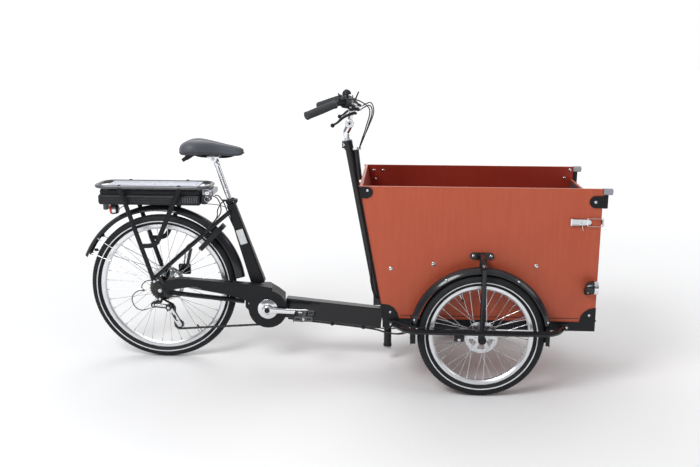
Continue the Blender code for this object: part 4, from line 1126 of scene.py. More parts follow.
def cassette_sprockets():
    """Eight toothed sprockets on their sleeve."""
    axle = Vector((REAR.x, 0, REAR.z))
    shape = Shape("dark_steel", "oiled_steel")
    for i, radius in enumerate(SPROCKETS):
        y = (-0.0362, -0.0401, -0.044, -0.0478, -0.0516, -0.056, -0.0598, -0.063)[i]
        teeth = round(2 * pi * radius / sizes().chain_pitch)
        holes = [circle((0, 0), 0.0168, 24)]
        if radius > 0.036:
            ring = radius - 0.0125
            holes += hole_ring(ring, 7, 0.0038, 10, 0.3 * i)
        shape.slab([toothed((0, 0), radius, teeth, 0.0026)] + holes, y - 0.0009, y + 0.0009,
            place=Matrix.Translation(axle), finish=i % 2)
    shape.lathe([(0.0168, -0.0352), (0.02, -0.0352), (0.02, -0.0636), (0.0168, -0.0638)], axle,
        steps=36, closed=True, finish=1)
    shape.piece("cassette_sprockets", "cassette", ["cassette"], sharp=30)


def derailleur_cage_and_arm():
    """Cage, pulleys, arm and cable of the derailleur."""
    shape = Shape("moulded", "bright_steel", "dark_steel", "cable", "satin_paint")
    for i, (x, z) in enumerate(PULLEYS):
        outline = toothed((0, 0), 0.02, 11, 0.0032)
        holes = hole_ring(0.0105, 5, 0.0028, 8)
        spot = Matrix.Translation(at(x, 0, z))
        shape.slab([outline] + holes, CHAIN_Y - 0.0012, CHAIN_Y + 0.0012, place=spot)
        shape.rod(at(x, -0.049, z), at(x, -0.0668, z), 0.0048, sides=16, finish=1)
        shape.screw(at(x, -0.066, z), (0, -1, 0), 0.0034, 0.003, finish=1)
    start, end = PULLEYS
    window = stadium((0.0485, 0.221), (0.0665, 0.19), 0.0052, 0.0052, 8)
    for y, finish in ((-0.0646, 1), (-0.05, 2)):
        shape.slab([stadium(start, end, 0.012, 0.0105, 10), window], y - 0.001, y + 0.001,
            place=FROM_REAR, finish=finish)
    shape.bar(at(-0.03, -0.079, 0.263), at(0.034, -0.077, 0.256), 0.02, 0.018, 0.006, 3)
    shape.bar(at(-0.022, -0.0895, 0.2665), at(0.026, -0.0875, 0.261), 0.004, 0.011, 0.0018, 3,
        finish=1)
    for x, y, z in ((-0.03, -0.065, 0.264), (0.036, -0.065, 0.252)):
        shape.rod(at(x, y, z), at(x, y - 0.0215, z), 0.0136, 0.0128, 26, round_edge=0.002)
        shape.screw(at(x, y - 0.0215, z), (0, -1, 0), 0.0048, 0.003, finish=1)
    shape.rod(at(0, -0.0752, 0.293), at(0, -0.087, 0.293), 0.0105, 0.0095, 22, round_edge=0.0015)
    shape.screw(at(0, -0.087, 0.293), (0, -1, 0), 0.0042, 0.003, finish=1)
    shape.bar(at(-0.028, -0.08, 0.268), at(0.002, -0.08, 0.29), 0.008, 0.015, 0.003, finish=0)
    shape.slab([stadium((0.002, 0.318), (-0.002, 0.282), 0.0105, 0.011, 8)], -0.079, -0.0745,
        place=FROM_REAR, finish=4)
    loop = [(0.118, -0.08, 0.314), (0.07, -0.086, 0.306), (0.03, -0.088, 0.312), (0, -0.088, 0.356),
        (-0.03, -0.086, 0.378), (-0.062, -0.085, 0.372), (-0.08, -0.085, 0.348),
        (-0.068, -0.085, 0.33), (-0.09, -0.085, 0.331), (-0.118, -0.085, 0.312),
        (-0.125, -0.085, 0.283), (-0.11, -0.085, 0.252), (-0.082, -0.085, 0.24),
        (-0.046, -0.084, 0.25)]
    shape.sweep(curve(loop, 7), 0.0022, 10, finish=3)
    shape.rod(at(-0.058, -0.084, 0.246), at(-0.04, -0.0835, 0.252), 0.0036, sides=12, finish=1)
    shape.piece("derailleur_cage_and_arm", "main_frame", ["derailleur"])


class BIKE_OT_gears(Operator):
    """Cassette of toothed sprockets, and the derailleur with its cage and pulleys"""
    bl_idname = "cargo_bike.gears"
    bl_label = "Gears"

    def execute(self, context):
        cassette_sprockets()
        derailleur_cage_and_arm()
        return {"FINISHED"}


# ---- box -----------------------------------------------------------------------------------------
def heads(name, body, finish, spots, radius=None):
    """Round heads of bolts or rivets, each given by its place and the way it faces."""
    shape = Shape(finish)
    for spot, way in spots:
        shape.dome(at(*spot), way, radius or sizes().rivet)
    shape.piece(name, body)


def box_side(name, side):
    """A side panel's finish, bolts, rivets and seam."""
    dress("side_panel_" + name, "side_board")
    out = (0, side, 0)
    heads("panel_bolts_" + name, "front_frame", "bright_steel",
        [((x, side * BOX_Y, z), out) for x, z in ((1.021, 0.511), (1.193, 0.533), (1.605, 0.531))],
        0.0088)
    heads("corner_rivets_" + name, "front_frame", "bright_steel",
        [((x, side * 0.3135, z), out) for x, z in ((0.924, 0.831), (1.022, 0.327), (1.826, 0.329))],
        0.0056)
    heads("inner_bolts_" + name, "front_frame", "bright_steel",
        [((x, side * 0.298, z), (0, -side, 0)) for x, z in ((0.934, 0.822), (0.941, 0.78),
        (0.975, 0.822), (1.8365, 0.834), (1.8125, 0.796))], 0.007)
    shape = Shape("cable")
    shape.bar(at(1.065, side * (BOX_Y - 0.0003), 0.314), at(1.786, side * (BOX_Y - 0.0003), 0.314),
        0.0016, 0.003)
    shape.piece("panel_seam_" + name, "front_frame")


def bench_hinge():
    """Hinge pins and bolts of the bench."""
    shape = Shape("bright_steel")
    for y in (-0.2, 0.2):
        shape.rod(at(0.986, y - 0.03, 0.5275), at(0.986, y + 0.03, 0.5275), 0.0026, sides=12)
        for dy in (-0.02, 0.02):
            shape.dome(at(1.004, y + dy, 0.542), (0, 0, 1), 0.005)
    shape.piece("bench_hinge", "bench")


def front_door_panel():
    """Folding door with its hinges and latch hooks."""
    shape = Shape("door_board", "antislip", "bright_steel", "satin_paint")
    shape.block(at(1.8392, -0.2965, 0.306), at(1.851, 0.2965, 0.79), 0.0016)
    shape.block(at(1.8386, -0.29, 0.312), at(1.8393, 0.29, 0.784), 0.0003, 1, finish=1)
    for side in (-1, 1):
        shape.block(at(1.8508, side * 0.26, 0.696), at(1.8532, side * 0.295, 0.734), 0.0009,
            finish=2)
        shape.block(at(1.8528, side * 0.262, 0.705), at(1.8545, side * 0.318, 0.725), 0.0007,
            finish=2)
        shape.rod(at(1.8552, side * 0.3185, 0.7045), at(1.8552, side * 0.3185, 0.7255), 0.0022,
            sides=12, finish=2)
        for z in (0.701, 0.729):
            for y in (0.266, 0.289):
                shape.dome(at(1.8531, side * y, z), (1, 0, 0), 0.003, finish=2, steps=10)
    for k in range(5):
        y = -0.256 + 0.128 * k
        shape.block(at(1.8509, y - 0.04, 0.306), at(1.8526, y + 0.04, 0.338), 0.0008, finish=3)
        shape.rod(at(1.856, y - 0.038, 0.3), at(1.856, y + 0.038, 0.3), 0.0044, sides=14,
            round_edge=0.0008, finish=3)
        shape.bar(at(1.8518, y, 0.308), at(1.8558, y, 0.3035), 0.076, 0.0016, finish=3)
        for dy in (-0.026, 0.026):
            shape.dome(at(1.8525, y + dy, 0.326), (1, 0, 0), 0.0048, finish=2, steps=10)
    shape.piece("front_door_panel", "front_door", ["front_door"])


class BIKE_OT_box(Operator):
    """Plywood box with its bolts, bench and folding front door"""
    bl_idname = "cargo_bike.box"
    bl_label = "Box"

    def execute(self, context):
        for name, side in SIDES:
            box_side(name, side)
        dress("rear_panel", "rear_board")
        dress("box_floor", "level_board")
        dress("bench_seat", "level_board")
        bench_hinge()
        front_door_panel()
        return {"FINISHED"}


# ---- frame ---------------------------------------------------------------------------------------
DRESSED = {"gloss_paint": ("main_beam", "head_tube", "stays_right", "stays_left",
    "wheel_guard_right", "wheel_guard_left", "steering_post"), "satin_paint": ("front_chassis",
    "chain_guard", "seat_tube"), "moulded": ("motor_housing", "seat_collar", "seat_lever"),
    "bright_steel": ("king_pin",),}


def frame_bolts():
    """Bolts and caps of the rear frame."""
    shape = Shape("bright_steel", "moulded", "cable", "label")
    for x, z in ((0.395, 0.33), (0.52, 0.3), (0.53, 0.222), (0.392, 0.268)):
        for side in (-1, 1):
            shape.screw(at(x, side * 0.046, z), (0, side, 0), 0.0036, 0.003)
    shape.lathe([(0, 0), (0.044, 0), (0.043, 0.003), (0.03, 0.0048), (0.0125, 0.005),
        (0.0125, 0.001), (0, 0.001)], CRANK + aside(0.07), (0, 1, 0), 40, finish=1)
    for k in range(6):
        angle = pi * k / 3
        shape.screw(CRANK + around(0.052, angle, 0.07), (0, 1, 0), 0.003, 0.0026)
    for z in (0.69, 0.655):
        x = 0.3125 - 0.325 * (z - 0.714)
        shape.screw(at(x - 0.001, -0.014, z), (0, -1, 0), 0.0034, 0.003)
    shape.rod(at(0.33, -0.024, 0.7265), at(0.33, 0.024, 0.7265), 0.0038, sides=14)
    shape.nut(at(0.33, 0.015, 0.7265), (0, 1, 0), 0.0085, 0.006)
    shape.piece("frame_bolts", "main_frame")


def blank_label():
    """A silver label on the seat tube, without any text."""
    shape = Shape("label")
    along = Vector((-sin(radians(18)), 0, cos(radians(18))))
    spot = at(0.3125, 0, 0.714) - along * 0.155
    across = aside(1).cross(along)
    turn = Matrix((across, (0, 1, 0), along)).transposed().to_4x4()
    turn.translation = spot
    shape.block((-0.016, -0.0222, -0.034), (0.016, -0.0212, 0.034), 0.0003, 1, turn)
    shape.piece("blank_label", "main_frame")


def guard_fittings(name, side):
    """Bolts, axle nut and brake hose of a wheel guard."""
    shape = Shape("bright_steel", "moulded", "satin_paint", "oiled_steel")
    for x in (1.352, 1.422):
        shape.dome(at(x, side * 0.315, 0.57), (0, side, 0), 0.007)
    for x in (1.035, 1.725):
        for dx in (-0.01, 0.01):
            shape.screw(at(x + dx, side * 0.33, 0.28), (0, side, 0), 0.004, 0.003)
    shape.nut(at(1.387, side * 0.4375, 0.256), (0, side, 0), 0.009, 0.004, finish=2)
    shape.lathe([(0, 0), (0.0168, 0), (0.0162, 0.0016), (0.0118, 0.0018), (0, 0.0018)],
        at(1.387, side * 0.439, 0.256), (0, side, 0), 28, finish=2)
    for z in (0.252, 0.278):
        shape.screw(at(1.297, side * 0.425, z), (0, side, 0), 0.0042, 0.003)
    shape.block(at(1.282, side * 0.4246, 0.259), at(1.312, side * 0.4262, 0.271), 0.0006, finish=1)
    hose = [(1.29, side * 0.408, 0.286), (1.27, side * 0.4125, 0.294), (1.2, side * 0.4135, 0.296),
        (1.12, side * 0.412, 0.296), (1.08, side * 0.39, 0.297), (1.045, side * 0.34, 0.296),
        (1.03, side * 0.318, 0.29)]
    shape.sweep(curve(hose, 6), sizes().cable, 10, finish=1)
    shape.piece("guard_fittings_" + name, "front_frame")


def rear_brake_fittings():
    """Bolts and hose of the rear brake."""
    shape = Shape("bright_steel", "cable")
    for z in (0.38, 0.408):
        shape.screw(at(0.064, 0.07, z), (0, 1, 0), 0.0042, 0.003)
    hose = [(0.078, 0.062, 0.416), (0.086, 0.06, 0.47), (0.094, 0.056, 0.5), (0.13, 0.047, 0.53),
        (0.22, 0.037, 0.608), (0.292, 0.029, 0.668)]
    shape.sweep(curve(hose, 6), sizes().cable, 10, finish=1)
    shape.piece("rear_brake_fittings", "main_frame")


def steering_bolts():
    """Bolts of the steering post."""
    shape = Shape("bright_steel", "satin_paint")
    for y in (-0.009, 0.009):
        shape.screw(at(0.8115, y + (0.004 if y > 0 else -0.004), 0.977), (0, 1 if y > 0 else -1, 0),
            0.0036, 0.003)
    for z in (0.972, 0.984):
        shape.rod(at(0.808, -0.0142, z), at(0.808, 0.0142, z), 0.0026, sides=12)
    shape.lathe([(0.0172, 0), (0.0196, 0.0012), (0.02, 0.01), (0.019, 0.0125), (0.0172, 0.013)],
        at(0.964, 0, 0.2985), (-0.19, 0, 1), 28, closed=True, finish=1)
    shape.piece("steering_bolts", "front_frame")


class BIKE_OT_frame(Operator):
    """Paint of the tubes, with the bolts, clips and caps that sit on them"""
    bl_idname = "cargo_bike.frame"
    bl_label = "Frame"

    def execute(self, context):
        for finish, nodes in DRESSED.items():
            for node in nodes:
                dress(node, finish, 62 if node == "motor_housing" else 34)
        frame_bolts()
        blank_label()
        for name, side in SIDES:
            guard_fittings(name, side)
        rear_brake_fittings()
        steering_bolts()
        return {"FINISHED"}


# ---- mudguards -----------------------------------------------------------------------------------
def mudguard(shape, centre, low, high, half, first, turn, steps, skirt=0, spread=0, finish=0):
    """A domed mudguard with a rolled edge, from the angle first over turn, in degrees. Its sides
    reach skirt lower where it starts, and it stands spread further out where it ends."""
    shares = [-1, -0.97, -0.88, -0.74, -0.56, -0.36, -0.16, 0, 0.16, 0.36, 0.56, 0.74, 0.88, 0.97,
        1]
    outer = [(low + (high - low) * (1 - abs(t) ** 2.8), t * half) for t in shares]
    inner = [(r - 0.0024, y * 0.955) for r, y in reversed(outer)]
    edge = [(low - 0.0024, half * 0.985), (low - 0.0032, half * 0.965)]
    other = [(r, -y) for r, y in reversed(edge)]
    section = outer + edge + inner[1:-1] + other
    weights = [(abs(y) / half) ** 3 for r, y in section]
    shape.lathe(section, centre, steps=steps, closed=True, arc=radians(turn), start=radians(first),
        finish=finish, shift=lambda step, i: spread * (step / steps) ** 3 - skirt * weights[i]
        * (1 - step / steps) ** 1.5)


def rear_mudguard_domed():
    """Rear mudguard with its wire stays."""
    shape = Shape("gloss_moulded", "bright_steel", "moulded")
    mudguard(shape, at(0, 0, REAR.z), 0.355, 0.371, 0.03, 8, 150, 96, skirt=0.02, spread=0.009)
    for side in (-1, 1):
        wire = [(-0.006, side * 0.0772, 0.378), (-0.06, side * 0.07, 0.415),
            (-0.18, side * 0.048, 0.49), (-0.281, side * 0.0335, 0.551)]
        shape.sweep(curve(wire, 5), 0.0022, 10, finish=1)
        wire = [(-0.012, side * 0.0772, 0.374), (-0.09, side * 0.066, 0.402),
            (-0.2, side * 0.045, 0.442), (-0.314, side * 0.0335, 0.484)]
        shape.sweep(curve(wire, 5), 0.0022, 10, finish=1)
        shape.screw(at(-0.009, side * 0.074, 0.377), (0, side, 0), 0.004, 0.0036, finish=1)
        for x, z in ((-0.281, 0.551), (-0.314, 0.484)):
            shape.block(at(x - 0.01, side * 0.0292, z - 0.006), at(x + 0.008, side * 0.0345,
                z + 0.006), 0.0015, finish=2)
    shape.piece("rear_mudguard_domed", "main_frame", ["rear_mudguard"], sharp=50)


def front_mudguard_domed(name, side):
    """A front mudguard with flaps, rivets and stays."""
    centre = at(1.383, side * 0.37, 0.256)
    shape = Shape("gloss_moulded", "bright_steel", "moulded")
    mudguard(shape, centre, 0.264, 0.2835, 0.029, 11, 158, 72)
    for x, low, high, wing in ((1.105, 0.216, 0.324, 0.02), (1.658, 0.218, 0.324, -0.014)):
        y = side * 0.37
        for edge in (-0.0205, 0.0205):
            start, end = sorted((x, x + wing))
            shape.block(at(start, y + edge - 0.0012, low + 0.004), at(end, y + edge + 0.0012, 0.3),
                0.0008, finish=2)
        shape.block(at(x - 0.0014, y - 0.0215, low), at(x + 0.0024, y + 0.0215, high), 0.001,
            finish=2)
        for k in range(4):
            z = low + 0.014 + 0.008 * k
            shape.block(at(x - 0.0022, y - 0.018, z), at(x + 0.0032, y + 0.018, z + 0.003), 0.0006,
                finish=2)
    for x, z in ((1.111, 0.324), (1.239, 0.494), (1.53, 0.494), (1.655, 0.324)):
        way = (Vector((x, 0, z)) - Vector((1.383, 0, 0.256))).normalized()
        spot = centre + way * 0.2738 + aside(side * 0.0268)
        shape.dome(spot, (0.35 * way.x, side, 0.35 * way.z), 0.0048, finish=1, steps=12)
    for end, x, z in ((-1, 1.122, 0.33), (1, 1.645, 0.33)):
        wire = [(x, side * 0.3405, z), (x - end * 0.1, side * 0.333, z - 0.022),
            (1.383 + end * 0.03, side * 0.319, 0.264)]
        shape.sweep(curve(wire, 6), 0.0022, 10, finish=1)
    shape.block(at(1.373, side * 0.352, 0.536), at(1.401, side * 0.366, 0.564), 0.003, finish=2)
    shape.piece("front_mudguard_domed_" + name, "front_frame",
        ["front_mudguard_" + name], sharp=50)


class BIKE_OT_mudguards(Operator):
    """Rear and front mudguards with their stays, rivets and flaps"""
    bl_idname = "cargo_bike.mudguards"
    bl_label = "Mudguards"

    def execute(self, context):
        rear_mudguard_domed()
        for name, side in SIDES:
            front_mudguard_domed(name, side)
        return {"FINISHED"}


# ---- seat ----------------------------------------------------------------------------------------
SADDLE = ((0.102, 0.048, 0.964, 0.944), (0.108, 0.066, 0.975, 0.935), (0.122, 0.086, 0.986, 0.93),
    (0.146, 0.095, 0.994, 0.932), (0.17, 0.097, 0.9965, 0.934), (0.203, 0.083, 0.993, 0.934),
    (0.235, 0.063, 0.987, 0.932), (0.268, 0.046, 0.98, 0.929), (0.3, 0.036, 0.973, 0.926),
    (0.33, 0.0305, 0.967, 0.924), (0.352, 0.027, 0.962, 0.924), (0.368, 0.02, 0.956, 0.927),
    (0.375, 0.012, 0.95, 0.932))


def on_post(along, out=0):
    """A point on the seat post's axis, moved out to its right."""
    lean = radians(18)
    return at(0.3125 - along * sin(lean), -out, 0.714 + along * cos(lean))


def saddle_cover():
    """Padded cover of the saddle."""
    section = ((0, 0.42), (0.55, 0.4), (0.8, 0), (0.96, 0.04), (1, 0.3), (0.975, 0.6), (0.82, 0.85),
        (0.52, 0.98), (0.2, 1), (0.09, 0.9), (0, 0.87))
    section = section + tuple((-y, z) for y, z in reversed(section[1:-1]))
    rings = []
    for x, half, top, low in SADDLE:
        rings.append([at(x, y * half, low + (top - low) * z) for y, z in section])
    shape = Shape("skin", "thread")
    shape.strip(rings, finish=lambda i: 1 if i in (0, 1, 2, 17, 18, 19) else 0)
    saddle = shape.piece("saddle_cover", "seat_group", ["saddle"], sharp=80, levels=2)


def saddle_rails_and_clamp():
    """Piping, rails and clamp under the saddle."""
    shape = Shape("thread", "bright_steel", "polished_alloy", "moulded", "satin_paint")
    for side in (-1, 1):
        piping = [at(x, side * (half * 0.982 + 0.0006), low + (top - low) * 0.2) for x, half, top,
            low in SADDLE[1:]]
        shape.sweep(smooth_route(piping, 3), 0.0016, 8)
        rail = [(0.132, side * 0.026, 0.942), (0.15, side * 0.0235, 0.935),
            (0.185, side * 0.022, 0.9222), (0.245, side * 0.0215, 0.9195),
            (0.3, side * 0.0195, 0.919), (0.335, side * 0.015, 0.927), (0.35, side * 0.012, 0.937)]
        shape.sweep(curve(rail, 5), 0.0038, 12, finish=4)
        shape.block(at(0.218, side * 0.015, 0.912), at(0.272, side * 0.0275, 0.9245), 0.003,
            finish=2)
        shape.lathe([(0, -0.003), (0.015, -0.003), (0.0158, 0), (0.0145, 0.0028), (0.0075, 0.0034),
            (0.007, 0.002), (0, 0.002)], at(0.245, side * 0.024, 0.912), (0, side, 0), 28, finish=2)
        shape.nut(at(0.245, side * 0.0262, 0.912), (0, side, 0), 0.0062, 0.004, finish=1)
    shape.rod(at(0.245, -0.0245, 0.912), at(0.245, 0.0245, 0.912), 0.0118, sides=28, finish=2)
    shape.lathe([(0, 0), (0.0128, 0), (0.0142, 0.01), (0.0138, 0.022), (0.011, 0.028), (0, 0.028)],
        on_post(0.172), (-0.309, 0, 0.951), 28, finish=2)
    shape.block(at(0.12, -0.03, 0.924), at(0.19, 0.03, 0.94), 0.005, 3, finish=3)
    shape.bar(at(0.15, 0, 0.928), at(0.119, 0, 0.909), 0.034, 0.02, 0.005, 3, finish=3)
    shape.bar(at(0.124, 0, 0.914), at(0.106, 0, 0.9), 0.028, 0.016, 0.004, 3, finish=3)
    shape.piece("saddle_rails_and_clamp", "seat_group", ["saddle_rails"])


def seat_post_marked():
    """Seat post with its height marks."""
    shape = Shape("polished_alloy", "cable")
    shape.rod(on_post(-0.18), on_post(0.178), 0.0125, sides=36, round_edge=0.001)
    for k in range(14):
        turn = 0.84 if k % 5 == 0 else 0.52
        shape.lathe([(0.0122, -0.0004), (0.01256, -0.0004), (0.01256, 0.0004), (0.0122, 0.0004)],
            on_post(0.022 + 0.01 * k), (-0.309, 0, 0.951), 4, closed=True, arc=turn,
            start=pi - turn / 2, finish=1)
    shape.piece("seat_post_marked", "seat_group", ["seat_post"])


class BIKE_OT_seat(Operator):
    """Padded saddle with its seam, rails and clamp, and the marked seat post"""
    bl_idname = "cargo_bike.seat"
    bl_label = "Seat"

    def execute(self, context):
        saddle_cover()
        saddle_rails_and_clamp()
        seat_post_marked()
        return {"FINISHED"}


# ---- carrier -------------------------------------------------------------------------------------
def rounded_box(low, high, radius, count=6):
    """A rounded rectangle as flat points."""
    points = []
    for cx, cy, first in ((high[0] - radius, high[1] - radius, 0),
            (low[0] + radius, high[1] - radius, 0.5), (low[0] + radius, low[1] + radius, 1),
            (high[0] - radius, low[1] + radius, 1.5)):
        points += circle((cx, cy), radius, count, first * pi, pi / 2)
    return points


def carrier_tubes():
    """Loop, struts and cross-bars of the carrier."""
    shape = Shape("pale_paint", "bright_steel", "satin_paint")
    loop = rounded_box((-0.272, -0.08), (0.228, 0.08), 0.05, 12)
    shape.sweep([at(x, y, 0.792) for x, y in loop], 0.008, 16, closed=True)
    for side in (-1, 1):
        for strut in (((-0.156, 0.792), (-0.154, 0.782), (-0.13, 0.71), (-0.075, 0.537),
                (-0.022, 0.372)), ((0.104, 0.792), (0.102, 0.782), (0.08, 0.732), (0.022, 0.6),
                (0.004, 0.56), (-0.01, 0.543), (-0.034, 0.535), (-0.078, 0.533))):
            route = smooth_route([at(x, side * 0.0834, z) for x, z in strut], 6)
            shape.sweep(route, 0.0105, 14, flat=0.42, up=(0, 1, 0), finish=2)
            shape.sweep([at(x, side * 0.0834, z) for x, z in circle((strut[0][0], 0.7905), 0.01,
                20)], 0.0028, 10, closed=True, finish=2)
        shape.screw(at(-0.022, side * 0.0868, 0.374), (0, side, 0), 0.005, 0.004, finish=1)
        shape.nut(at(-0.022, side * 0.0736, 0.374), (0, side, 0), 0.0075, 0.005, finish=1)
    for x in (-0.215, -0.04, 0.16):
        shape.sweep([at(x, y, z) for y, z in ((-0.078, 0.791), (-0.06, 0.784), (0, 0.7835),
            (0.06, 0.784), (0.078, 0.791))], 0.004, 12)
    shape.piece("carrier_tubes", "main_frame", ["carrier_frame"])


def carrier_deck():
    """Deck plate and battery dock."""
    shape = Shape("carrier_plate", "moulded", "chrome", "cable", "dock_alloy")
    holes = [rounded_box((x, s * 0.036 - 0.0055), (x + 0.11, s * 0.036 + 0.0055), 0.005, 5)
        for x in (-0.205, -0.078, 0.049) for s in (-1, 1)]
    shape.slab([rounded_box((-0.222, -0.066), (0.178, 0.066), 0.012)] + holes, 0.789, 0.796,
        plane="XY", place=FROM_REAR)
    shape.block(at(0.193, -0.048, 0.779), at(0.201, 0.048, 0.79), 0.001)
    shape.block(at(0.193, -0.06, 0.716), at(0.218, 0.06, 0.754), 0.007, 3, finish=1)
    shape.block(at(0.196, -0.056, 0.754), at(0.246, 0.056, 0.78), 0.007, 3, finish=4)
    for z in (0.722, 0.73, 0.738):
        shape.block(at(0.2, -0.0607, z), at(0.214, 0.0607, z + 0.004), 0.0008, finish=1)
    ring = at(0.222, -0.066, 0.74)
    shape.sweep([ring + around(0.011, pi * k / 12, -0.0004) for k in range(24)], 0.0009, 8,
        closed=True, finish=2)
    shape.bar(at(0.219, -0.064, 0.762), at(0.219, -0.066, 0.75), 0.01, 0.0016, 0.0006, finish=2)
    for x, s in ((-0.232, -1), (0.188, 1)):
        for y in (-0.04, 0.04):
            shape.bar(at(x, y, 0.791), at(x + s * 0.034, y * 1.15, 0.7915), 0.012, 0.004, 0.0012,
                finish=1)
    shape.lathe([(0, 0), (0.0098, 0), (0.0094, 0.0022), (0.006, 0.0026), (0.0058, 0.0006),
        (0, 0.0006)], at(0.222, -0.06, 0.7685), (0, -1, 0), 26, finish=2)
    shape.block(at(0.2212, -0.0612, 0.7645), at(0.2228, -0.06, 0.7725), finish=3)
    for x in (-0.205, -0.02, 0.165):
        for y in (-0.018, 0.018):
            shape.screw(at(x, y, 0.796), (0, 0, 1), 0.0036, 0.0022, finish=2)
    shape.piece("carrier_deck", "main_frame", ["carrier_plate"])


def battery_case():
    """Battery with its ribs and handle."""
    shape = Shape("moulded", "grey_moulded", "cable", "chrome")
    shape.block(at(-0.262, -0.0632, 0.71), at(0.19, 0.0632, 0.756), 0.011, 4)
    shape.block(at(-0.256, -0.052, 0.75), at(0.188, 0.052, 0.778), 0.008, 3)
    for z in (0.7235, 0.7335, 0.7435):
        shape.block(at(-0.25, -0.064, z), at(0.1, 0.064, z + 0.003), 0.0008)
    for k in range(7):
        x = 0.112 + 0.01 * k
        shape.block(at(x, -0.0639, 0.722), at(x + 0.0045, 0.0639, 0.746), 0.0009, finish=1)
    shape.block(at(-0.256, -0.018, 0.678), at(-0.236, 0.018, 0.714), 0.005, 3, finish=1)
    shape.block(at(-0.2632, -0.024, 0.724), at(-0.26, 0.024, 0.742), 0.0012, finish=1)
    for k in range(5):
        shape.block(at(-0.264, -0.01 + 0.0044 * k, 0.7305), at(-0.2628, -0.0076 + 0.0044 * k,
            0.7355), finish=2)
    shape.piece("battery_case", "battery", ["battery"])


def tail_lamp_lens():
    """Round tail lamp."""
    lamp = at(-0.211, 0, 0.68)
    shape = Shape("gloss_moulded", "red_lens", "chrome", "clear")
    shape.lathe([(0, 0.021), (0.013, 0.021), (0.017, 0.019), (0.02, 0.015), (0.0212, 0.012),
        (0, 0.012)], lamp, (1, 0, 0), 44)
    shape.lathe([(0, 0.0122), (0.0212, 0.0122), (0.0228, 0.006), (0.0236, 0.001), (0.0236, -0.004),
        (0, -0.004)], lamp, (1, 0, 0), 44, finish=2)
    shape.lathe([(0, 0), (0.024, 0), (0.024, 0.006), (0.0228, 0.01), (0.018, 0.0128), (0.01, 0.014),
        (0, 0.0142)], lamp + Vector((-0.004, 0, 0)), (-1, 0, 0), 44, finish=1)
    shape.bar(lamp + Vector((0.006, 0, 0.019)), lamp + Vector((0.006, 0, 0.0315)), 0.018, 0.01,
        0.002)
    shape.piece("tail_lamp_lens", "main_frame", ["tail_lamp"])


def frame_lock():
    """Ring lock round the rear tyre."""
    legs = [(0.258, 0.0365), (0.258, 0.056), (0.3, 0.06), (0.344, 0.0595), (0.37, 0.0565),
        (0.386, 0.047), (0.394, 0.033), (0.398, 0.016), (0.399, 0)]
    inside = [(0.379, 0), (0.3775, 0.014), (0.374, 0.026), (0.365, 0.033), (0.352, 0.0365)]
    slope = radians(45.5)
    turn = Matrix(((cos(slope), -sin(slope), 0, REAR.x), (0, 0, 1, 0),
        (sin(slope), cos(slope), 0, REAR.z), (0, 0, 0, 1)))
    shape = Shape("moulded", "chrome", "cable")
    for k in range(5):
        cut = 0 if k % 2 == 0 else 0.0014
        outer = [(s - cut * (s > 0.3), y - cut) for s, y in legs]
        outline = (outer[:-1] + [(s, -y) for s, y in reversed(outer)] + [(s, -y) for s,
            y in reversed(inside)] + inside[1:])
        shape.slab([outline], -0.011 + 0.0044 * k, -0.0066 + 0.0044 * k, place=turn)
    for side in (-1, 1):
        shape.rod(turn @ Vector((0.252, 0, side * 0.046)), turn @ Vector((0.262, 0, side * 0.046)),
            0.006, sides=20, finish=1)
    shape.piece("frame_lock", "main_frame", ["ring_lock"])


def carrier_leads():
    """Leads between dock, lamp and frame."""
    shape = Shape("cable", "bright_steel")
    for lead in (((0.246, -0.02, 0.752), (0.264, -0.022, 0.748), (0.286, -0.02, 0.716),
            (0.302, -0.016, 0.668), (0.324, -0.014, 0.612)), ((0.238, -0.034, 0.752),
            (0.26, -0.036, 0.74), (0.2732, -0.034, 0.708), (0.271, -0.036, 0.672),
            (0.24, -0.048, 0.634), (0.204, -0.058, 0.59), (0.185, -0.056, 0.56)),
            ((0.305, -0.016, 0.73), (0.28, -0.026, 0.722), (0.26, -0.034, 0.69),
            (0.255, -0.038, 0.655), (0.22, -0.052, 0.612))):
        shape.sweep(curve(lead, 6), sizes().cable, 10)
    lead = [(-0.19, 0.006, 0.68), (-0.17, 0.01, 0.692), (-0.12, 0.016, 0.702), (0, 0.02, 0.705),
        (0.15, 0.02, 0.706), (0.25, 0.016, 0.702), (0.296, 0.01, 0.688)]
    shape.sweep(curve(lead, 6), 0.0018, 8)
    shape.piece("carrier_leads", "main_frame")


class BIKE_OT_carrier(Operator):
    """Carrier loop and struts, deck plate, battery, tail lamp and frame lock"""
    bl_idname = "cargo_bike.carrier"
    bl_label = "Carrier"

    def execute(self, context):
        carrier_tubes()
        carrier_deck()
        battery_case()
        tail_lamp_lens()
        frame_lock()
        carrier_leads()
        return {"FINISHED"}


# ---- front fittings ------------------------------------------------------------------------------
def corner_bracket(name, side):
    """Bracket with its reflector at a front corner."""
    shape = Shape("moulded", "bright_steel", "reflector", "satin_paint")
    y0, y1 = sorted((side * 0.3104, side * 0.314))
    tab = circle((1.824, 0.796), 0.024, 18, radians(98), radians(164))
    tab += [(1.858, 0.772), (1.8615, 0.776), (1.8615, 0.816), (1.858, 0.82)]
    shape.slab([tab], y0, y1, place=FROM_REAR, finish=3)
    shape.block(at(1.8516, side * 0.299, 0.77), at(1.872, side * 0.3136, 0.8262), 0.0035, 3,
        finish=3)
    shape.dome(at(1.823, side * 0.314, 0.796), (0, side, 0), 0.0062, finish=1, steps=20)
    post = at(1.852, side * 0.306, 0.837)
    shape.lathe([(0, 0), (0.0136, 0), (0.0136, 0.033), (0.0124, 0.0362), (0, 0.0368)], post,
        (1, 0, 0), 32, finish=2)
    shape.piece("corner_bracket_" + name, "front_frame", ["front_bracket_" + name])


